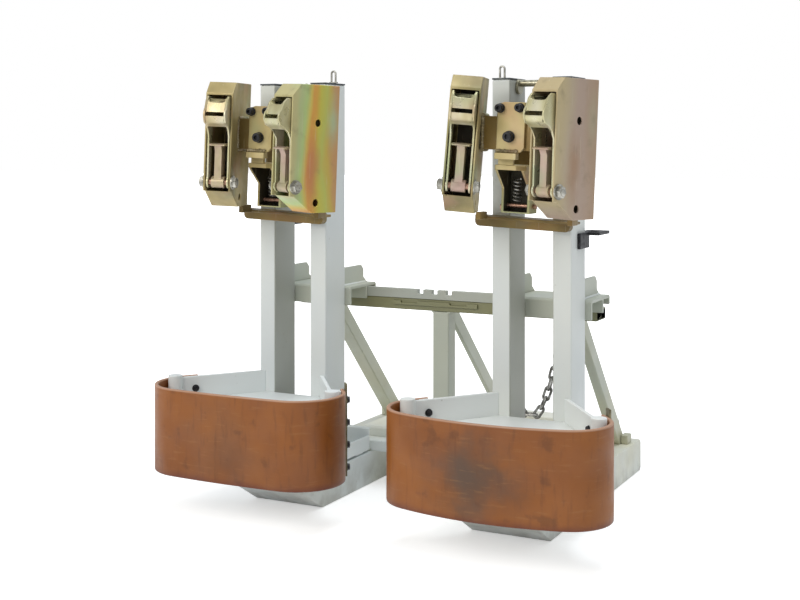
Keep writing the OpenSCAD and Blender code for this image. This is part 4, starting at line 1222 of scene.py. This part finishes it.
@dataclass
class ClampUnit(SubAssembly):
    """Posts, hook, tray, cradle and belt of one unit."""

    side: Side
    # The width of each node's easing, in metres, its finish and its slot
    sheets: dict[str, tuple[float, str, str]] = field(default_factory=lambda: {
        "posts": (0.0045, "post", "white_paint"), "post_caps": (0.001, "cap", "white_paint"),
        "hook_channel": (0.0016, "frame", "white_paint"), "foot_tray": (0.0012, "tray", "white_paint"),
        "cradle_arms": (0.002, "tray", "white_paint"), "cradle_shelves": (0.0012, "tray", "white_paint"),
        "belt_strips": (0.001, "strip", "white_paint"), "grab_handle": (0.0018, "black", "black_oxide"),
        "top_rod": (0.0008, "rod", "zinc_chromate"), "lifting_eye": (0.0006, "bright", "bright_steel")})
    # The bolts on each strip, in millimetres: their place on the arm, the lowest one, their spread and number
    strip_bolt_at: tuple[float, float] = (42.1, 54)
    strip_bolt_low: float = 127
    strip_bolt_spread: float = 160.5
    strip_bolts: int = 4
    # How much further each next bolt is turned, in radians, since no two are tightened alike
    bolt_roll: float = 0.7
    arm_bolt_at: Triple = (5.2, 51, 284)
    belt_bolt: Fastener = Fastener(6, 0.0078, 0.0045, 0.009, 0.0018, 0.0008)
    # The hanger spring's turns, radius, wire and what it stands off its two ends, in metres
    spring_turns: float = 8.0
    spring_radius: float = 0.0108
    spring_wire: float = 0.0036
    spring_gap: float = 0.002
    bead: Bead = Bead(0.0032, 0.006, 0.0010)

    def build(self) -> None:
        """Makes every piece of the unit."""
        name, body = self.side.label, self.side.label + "_unit"
        for part, (width, finish, slot) in self.sheets.items():
            self.put_eased(f"{name}_{part}", width, getattr(self.palette, finish), body, slot)
        put(DrumBelt().build(self.side), name + "_belt_rubber", body, "belt_rubber", [name + "_belt"],
            self.palette.belt)
        self.build_bolts(name, body)
        self.build_spring(name, body)
        self.build_welds(name, body)

    def build_bolts(self, name: str, body: str) -> None:
        """Sets the bolts that clamp the belt and its strips to the arms.

        Args:
            name: the unit's word.
            body: the body that they ride on.
        """
        strip, arm = [], []
        for hand in Hand:
            at = arm_matrix(self.side, hand)
            out, back = ("+X", "-X") if hand is Hand.RIGHT else ("-X", "+X")
            x, y = self.strip_bolt_at
            for k in range(self.strip_bolts):
                z = self.strip_bolt_low + k * self.strip_bolt_spread / (self.strip_bolts - 1)
                strip.append(aim(at, hand.value * x, y, z, out, k * self.bolt_roll))
            x, y, z = self.arm_bolt_at
            arm.append(aim(at, -hand.value * x, y, z, back))
        mesh = self.trees.run(seeds(strip + arm), self.belt_bolt, self.palette.black)
        put(mesh, name + "_belt_bolt_heads", body, "black_oxide", [name + "_belt_bolts"])

    def build_spring(self, name: str, body: str) -> None:
        """Winds the spring between the ring and the head's pad.

        Args:
            name: the unit's word.
            body: the body that it rides on.
        """
        low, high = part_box(name + "_hanger_spring")
        at = Matrix.Translation(((low.x + high.x) / 2, (low.y + high.y) / 2, low.z + self.spring_gap))
        size = Coil(self.spring_turns, self.spring_radius, self.spring_radius,
                    high.z - low.z - 2 * self.spring_gap, self.spring_wire)
        mesh = self.trees.run(seeds([at]), size, self.palette.bright)
        put(mesh, name + "_hanger_spring_wound", body, "bright_steel", [name + "_hanger_spring"])

    def build_welds(self, name: str, body: str) -> None:
        """Runs the painted weld beads of the unit.

        Args:
            name: the unit's word.
            body: the body that they ride on.
        """
        runs: list[list[Triple]] = []
        for hand in (-1, 1):
            # Arm to post, hook channel to post twice, and tray to post
            runs.append([(hand * 98.6, -0.4, 262), (hand * 98.6, -0.4, 309)])
            runs.append([(hand * 88.5, 101, 530), (hand * 88.5, 232, 530)])
            runs.append([(hand * 88.5, 100.6, 531), (hand * 88.5, 100.6, 575)])
            runs.append([(hand * 53, 0, 96.4), (hand * 98, 0, 96.4)])
        self.put_welds(name + "_unit_weld_beads", body, "white_paint", unit_matrix(self.side), runs,
                       self.bead, self.palette.paint)


@dataclass(frozen=True)
class Hollow:
    """A hollow in a folded part: its two corners and the point that its walls look at, in its frame."""

    low: Triple
    high: Triple
    middle: Triple


@dataclass
class GrippingHead(SubAssembly):
    """Carriage, bridge, centre plate, housings and yoke of one head, with its four moving grips."""

    side: Side
    # The width of each node's easing, in metres, its finish and its slot
    sheets: dict[str, tuple[float, str, str]] = field(default_factory=lambda: {
        "head_carriage": (0.0012, "gold", "zinc_chromate"), "head_bridge": (0.0016, "gold", "zinc_chromate"),
        "centre_plate": (0.0014, "plate", "zinc_chromate"), "housings": (0.0016, "rainbow", "zinc_chromate"),
        "yoke": (0.0012, "plate", "zinc_chromate"), "yoke_pin": (0.0006, "copper", "copper_pin")})
    grips: dict[str, float] = field(default_factory=lambda: {"beak": 0.0014, "jaw": 0.001})
    housing_hollow: Hollow = Hollow((-0.0285, -0.146, -0.2), (0.0285, 0.02, 0.2), (0, -0.075, 0))
    yoke_hollow: Hollow = Hollow((-0.0375, -0.150, -0.155), (0.0195, -0.08, -0.058), (-0.009, -0.12, -0.105))
    # Each screw's x, z and radius on the centre plate, and the plate's front, in millimetres
    screws: tuple[Triple, ...] = ((-29, 76, 10.5), (17, 78, 10.5), (-6, 14, 13))
    screws_y: float = -186.4
    # A screw's head and its socket, as shares of its washer
    screw_head: float = 0.84
    screw_socket: float = 0.46
    # The pivot bolt's line in its housing, and how far out its nuts, its tips and its shank start
    pivot_y: float = -139
    pivot_z: float = -98
    nut_x: float = 34.2
    tip_x: float = 44
    rod_x: float = 33
    nut: Fastener = Fastener(6, 0.0135, 0.0082, 0.017, 0.003, 0.0004)
    tip: Fastener = Fastener(24, 0.0078, 0.0028, 0.0079, 0.001, 0.0004)
    rod: Fastener = Fastener(32, 0.0079, 0.064, 0.008, 0.001, 0.0004)
    bead: Bead = Bead(0.0042, 0.0065, 0.0016)
    yoke_spring: Coil = Coil(6.0, 0.0095, 0.0085, 0.05, 0.0036)
    yoke_spring_at: Triple = (-13, -105, -130)

    def build(self) -> None:
        """Makes every piece of the head."""
        name, body = self.side.label, self.side.label + "_head"
        hollows = {"housings": ([housing_matrix(self.side, hand) for hand in Hand], self.housing_hollow),
                   "yoke": ([head_matrix(self.side)], self.yoke_hollow)}
        for part, (width, finish, slot) in self.sheets.items():
            if finish == "rainbow" and self.side is Side.RIGHT:
                finish = "rose"
            piece = self.put_eased(f"{name}_{part}", width, getattr(self.palette, finish), body, slot)
            if part in hollows:
                self.darken(piece.data, *hollows[part])
        self.build_screws(name, body)
        self.build_pivots(name, body)
        self.build_welds(name, body)
        self.build_yoke_spring(name, body)
        for which in ("outer", "inner"):
            for grip, width in self.grips.items():
                node = f"{name}_{which}_{grip}"
                self.put_eased(node, width, getattr(self.palette, grip), node, "zinc_chromate")

    def darken(self, mesh: bpy.types.Mesh, frames: Sequence[Matrix], hollow: Hollow) -> None:
        """Paints shade on the inner walls of a hollow, with a dark, dull copy of the plating.

        Args:
            mesh: an eased mesh.
            frames: the frames of its hollows, from left to right.
            hollow: the hollow in each of these frames.
        """
        mesh.materials.append(self.palette.inside)
        split = head_matrix(self.side).translation.x
        back = [frame_of.inverted() for frame_of in frames]
        for face in mesh.polygons:
            turn = back[-1 if face.center.x > split else 0]
            local, normal = turn @ face.center, turn.to_3x3() @ face.normal
            within = all(low < value < high for low, value, high in zip(hollow.low, local, hollow.high))
            if within and normal.dot(Vector(hollow.middle) - local) > 0:
                face.material_index = 1

    def build_screws(self, name: str, body: str) -> None:
        """Sets the three socket head screws of the centre plate.

        Args:
            name: the head's word.
            body: the body that they ride on.
        """
        at = head_matrix(self.side)
        parts = []
        for x, z, r in self.screws:
            size = Fastener(40, r * self.screw_head / MM, 0.0115, r / MM, 0.0025, r * self.screw_socket / MM)
            seed = seeds([aim(at, x, self.screws_y, z, "-Y")])
            parts.append(self.trees.run(seed, size, self.palette.black))
        put(joined(parts, name + "_screws"), name + "_cap_screw_heads", body, "black_oxide",
            [name + "_cap_screws"])

    def build_pivots(self, name: str, body: str) -> None:
        """Sets the pivot bolts: shank, washers, hexagon nut and the thread that stands out of it.

        Args:
            name: the head's word.
            body: the body that they ride on.
        """
        nuts, tips, rods = [], [], []
        for hand in Hand:
            at = housing_matrix(self.side, hand)
            for turn, way in ((-1, "-X"), (1, "+X")):
                nuts.append(aim(at, turn * self.nut_x, self.pivot_y, self.pivot_z, way, 0.4 + turn))
                tips.append(aim(at, turn * self.tip_x, self.pivot_y, self.pivot_z, way))
            rods.append(aim(at, -self.rod_x, self.pivot_y, self.pivot_z, "+X"))
        bright, copper = self.palette.bright, self.palette.copper
        parts = [self.trees.run(seeds(places), size, finish) for places, size, finish in (
            (nuts, self.nut, bright), (tips, self.tip, bright), (rods, self.rod, copper))]
        put(joined(parts, name + "_pivots"), name + "_pivot_bolt_sets", body, "bright_steel",
            [name + "_pivot_bolts"])

    def build_welds(self, name: str, body: str) -> None:
        """Runs the plated weld beads of the head.

        Args:
            name: the head's word.
            body: the body that they ride on.
        """
        # Under the centre plate, in a wavering line of nine points
        runs: list[list[Triple]] = [[(-36 + k * 50 / 8, -187, -19 + (k % 2) * 1.5) for k in range(9)]]
        for hand in (-1, 1):
            # Along the bridge's upper and lower edge, and up its front against the housing
            for z in (59, -17):
                runs.append([(hand * x, y, z) for x, y in ((98, -94), (86, -135), (74, -176))])
            runs.append([(hand * 73.5, -178, z) for z in (-14, 20, 56)])
        self.put_welds(name + "_head_weld_beads", body, "zinc_chromate", head_matrix(self.side), runs,
                       self.bead, self.palette.bead)

    def build_yoke_spring(self, name: str, body: str) -> None:
        """Winds the small return spring that shows inside the yoke.

        Args:
            name: the head's word.
            body: the body that it rides on.
        """
        place = aim(head_matrix(self.side), *self.yoke_spring_at, "+Z") @ Matrix.Rotation(0.12, 4, "X")
        mesh = self.trees.run(seeds([place]), self.yoke_spring, self.palette.chain)
        put(mesh, name + "_yoke_spring", body, "dark_steel", [])


# ---- studio


@dataclass(frozen=True)
class Lamp:
    """An area lamp: where it hangs, what it looks at, its width in metres, its power and its tint."""

    name: str
    at: Triple
    look: Triple
    size: float
    power: float
    tint: str


@dataclass(frozen=True)
class Studio:
    """Plain pale room, soft light and the camera."""

    # The photograph's frame and the solved camera, in metres, degrees and pixels
    frame_px: tuple[int, int] = (800, 600)
    camera_at: Triple = (1.38997, -2.77447, 0.89649)
    yaw: float = 26.886
    focal_px: float = 1271.35
    horizon_row: float = 144.8
    sensor: float = 36
    # The floor, how far from the middle it starts and ends to turn white to the eye, and how much it glows
    floor_size: float = 60
    floor_colour: str = "#f4f4f3"
    floor_fade: tuple[float, float] = (0.9, 3.0)
    floor_near: float = 0.45
    floor_lift: float = 0.8
    fill_colour: str = "#eef2f6"
    fill: float = 0.60
    white: str = "#ffffff"
    lamps: tuple[Lamp, ...] = (
        Lamp("key_lamp", (-1.2, -4.2, 2.9), (0, 0, 0.5), 2.2, 84, "#fffaf2"),
        Lamp("top_lamp", (0.6, 0.6, 4.2), (0, 0, 0.4), 2.4, 70, "#f4f8ff"))

    def build(self) -> None:
        """Makes the room, the lamps and the camera."""
        self.build_floor()
        self.build_world()
        self.build_lamps()
        self.build_camera()

    def build_floor(self) -> None:
        """Lays a pale floor that shows the shadow and is white to the eye elsewhere."""
        bpy.ops.mesh.primitive_plane_add(size=self.floor_size)
        floor = bpy.context.object
        floor.name = "floor"
        material = bpy.data.materials.new("pale_floor")
        material.use_nodes = True
        tree = material.node_tree
        tree.nodes.clear()
        add = partial(add_node, tree)
        start, end = self.floor_fade
        flat = add("ShaderNodeBsdfDiffuse", inputs={"Color": linear(self.floor_colour)})
        eye = add("ShaderNodeLightPath").outputs
        place = add("ShaderNodeTexCoord").outputs["Object"]
        far = add("ShaderNodeVectorMath", {"operation": "LENGTH"}, {0: place}).outputs["Value"]
        lift = add("ShaderNodeMapRange", inputs={"Value": far, "From Min": start, "From Max": end,
                                                 "To Min": 0.0, "To Max": self.floor_lift})
        strength = add("ShaderNodeMath", {"operation": "MULTIPLY_ADD"},
                       {0: lift, 1: eye["Is Camera Ray"], 2: self.floor_near})
        glow = add("ShaderNodeEmission", inputs={"Color": linear(self.white), "Strength": strength})
        seen = add("ShaderNodeMath", {"operation": "MAXIMUM"},
                   {0: eye["Is Camera Ray"], 1: eye["Is Glossy Ray"]})
        none = add("ShaderNodeEmission", inputs={"Strength": 0.0})
        shown = add("ShaderNodeMixShader", inputs={0: seen, 1: none, 2: glow})
        total = add("ShaderNodeAddShader", inputs={0: flat, 1: shown})
        add("ShaderNodeOutputMaterial", inputs={0: total})
        floor.data.materials.append(material)

    def build_world(self) -> None:
        """Fills the room with even light, and shows white behind the object."""
        world = bpy.data.worlds.new("room")
        bpy.context.scene.world = world
        world.use_nodes = True
        world.node_tree.nodes.clear()
        add = partial(add_node, world.node_tree)
        fill = add("ShaderNodeBackground", inputs={"Color": linear(self.fill_colour), "Strength": self.fill})
        white = add("ShaderNodeBackground", inputs={"Color": linear(self.white), "Strength": 1.0})
        eye = add("ShaderNodeLightPath").outputs["Is Camera Ray"]
        mixed = add("ShaderNodeMixShader", inputs={0: eye, 1: fill, 2: white})
        add("ShaderNodeOutputWorld", inputs={0: mixed})

    def build_lamps(self) -> None:
        """Hangs one large key lamp ahead and to the left, and a small one above."""
        for lamp in self.lamps:
            light = bpy.data.lights.new(lamp.name, "AREA")
            light.size = lamp.size
            light.energy = lamp.power
            light.color = linear(lamp.tint)[:3]
            hung = show(lamp.name, light)
            hung.location = lamp.at
            hung.rotation_euler = (Vector(lamp.look) - Vector(lamp.at)).to_track_quat("-Z", "Y").to_euler()

    def build_camera(self) -> None:
        """Stands the camera where the picture was taken, level, with the view shifted down."""
        width, height = self.frame_px
        data = bpy.data.cameras.new("camera")
        data.sensor_width = self.sensor
        data.lens = self.sensor * self.focal_px / width
        data.shift_y = -(height / 2 - self.horizon_row) / width
        data.clip_end = 200
        camera = show("camera", data)
        x, y, z = self.camera_at
        camera.location = (x, y + FRONT_Y, z)
        camera.rotation_euler = (math.pi / 2, 0, math.radians(self.yaw))
        bpy.context.scene.camera = camera
        bpy.context.scene.view_settings.view_transform = "Standard"


def main() -> None:
    """Builds the studio and every sub-assembly in order."""
    logging.basicConfig(level=logging.INFO, format="%(name)s %(message)s")
    Studio().build()
    palette = Palette()
    trees = Trees()
    BaseFrame(palette, trees).build()
    for side in Side:
        ClampUnit(palette, trees, side).build()
        GrippingHead(palette, trees, side).build()


if __name__ == "__main__":
    main()
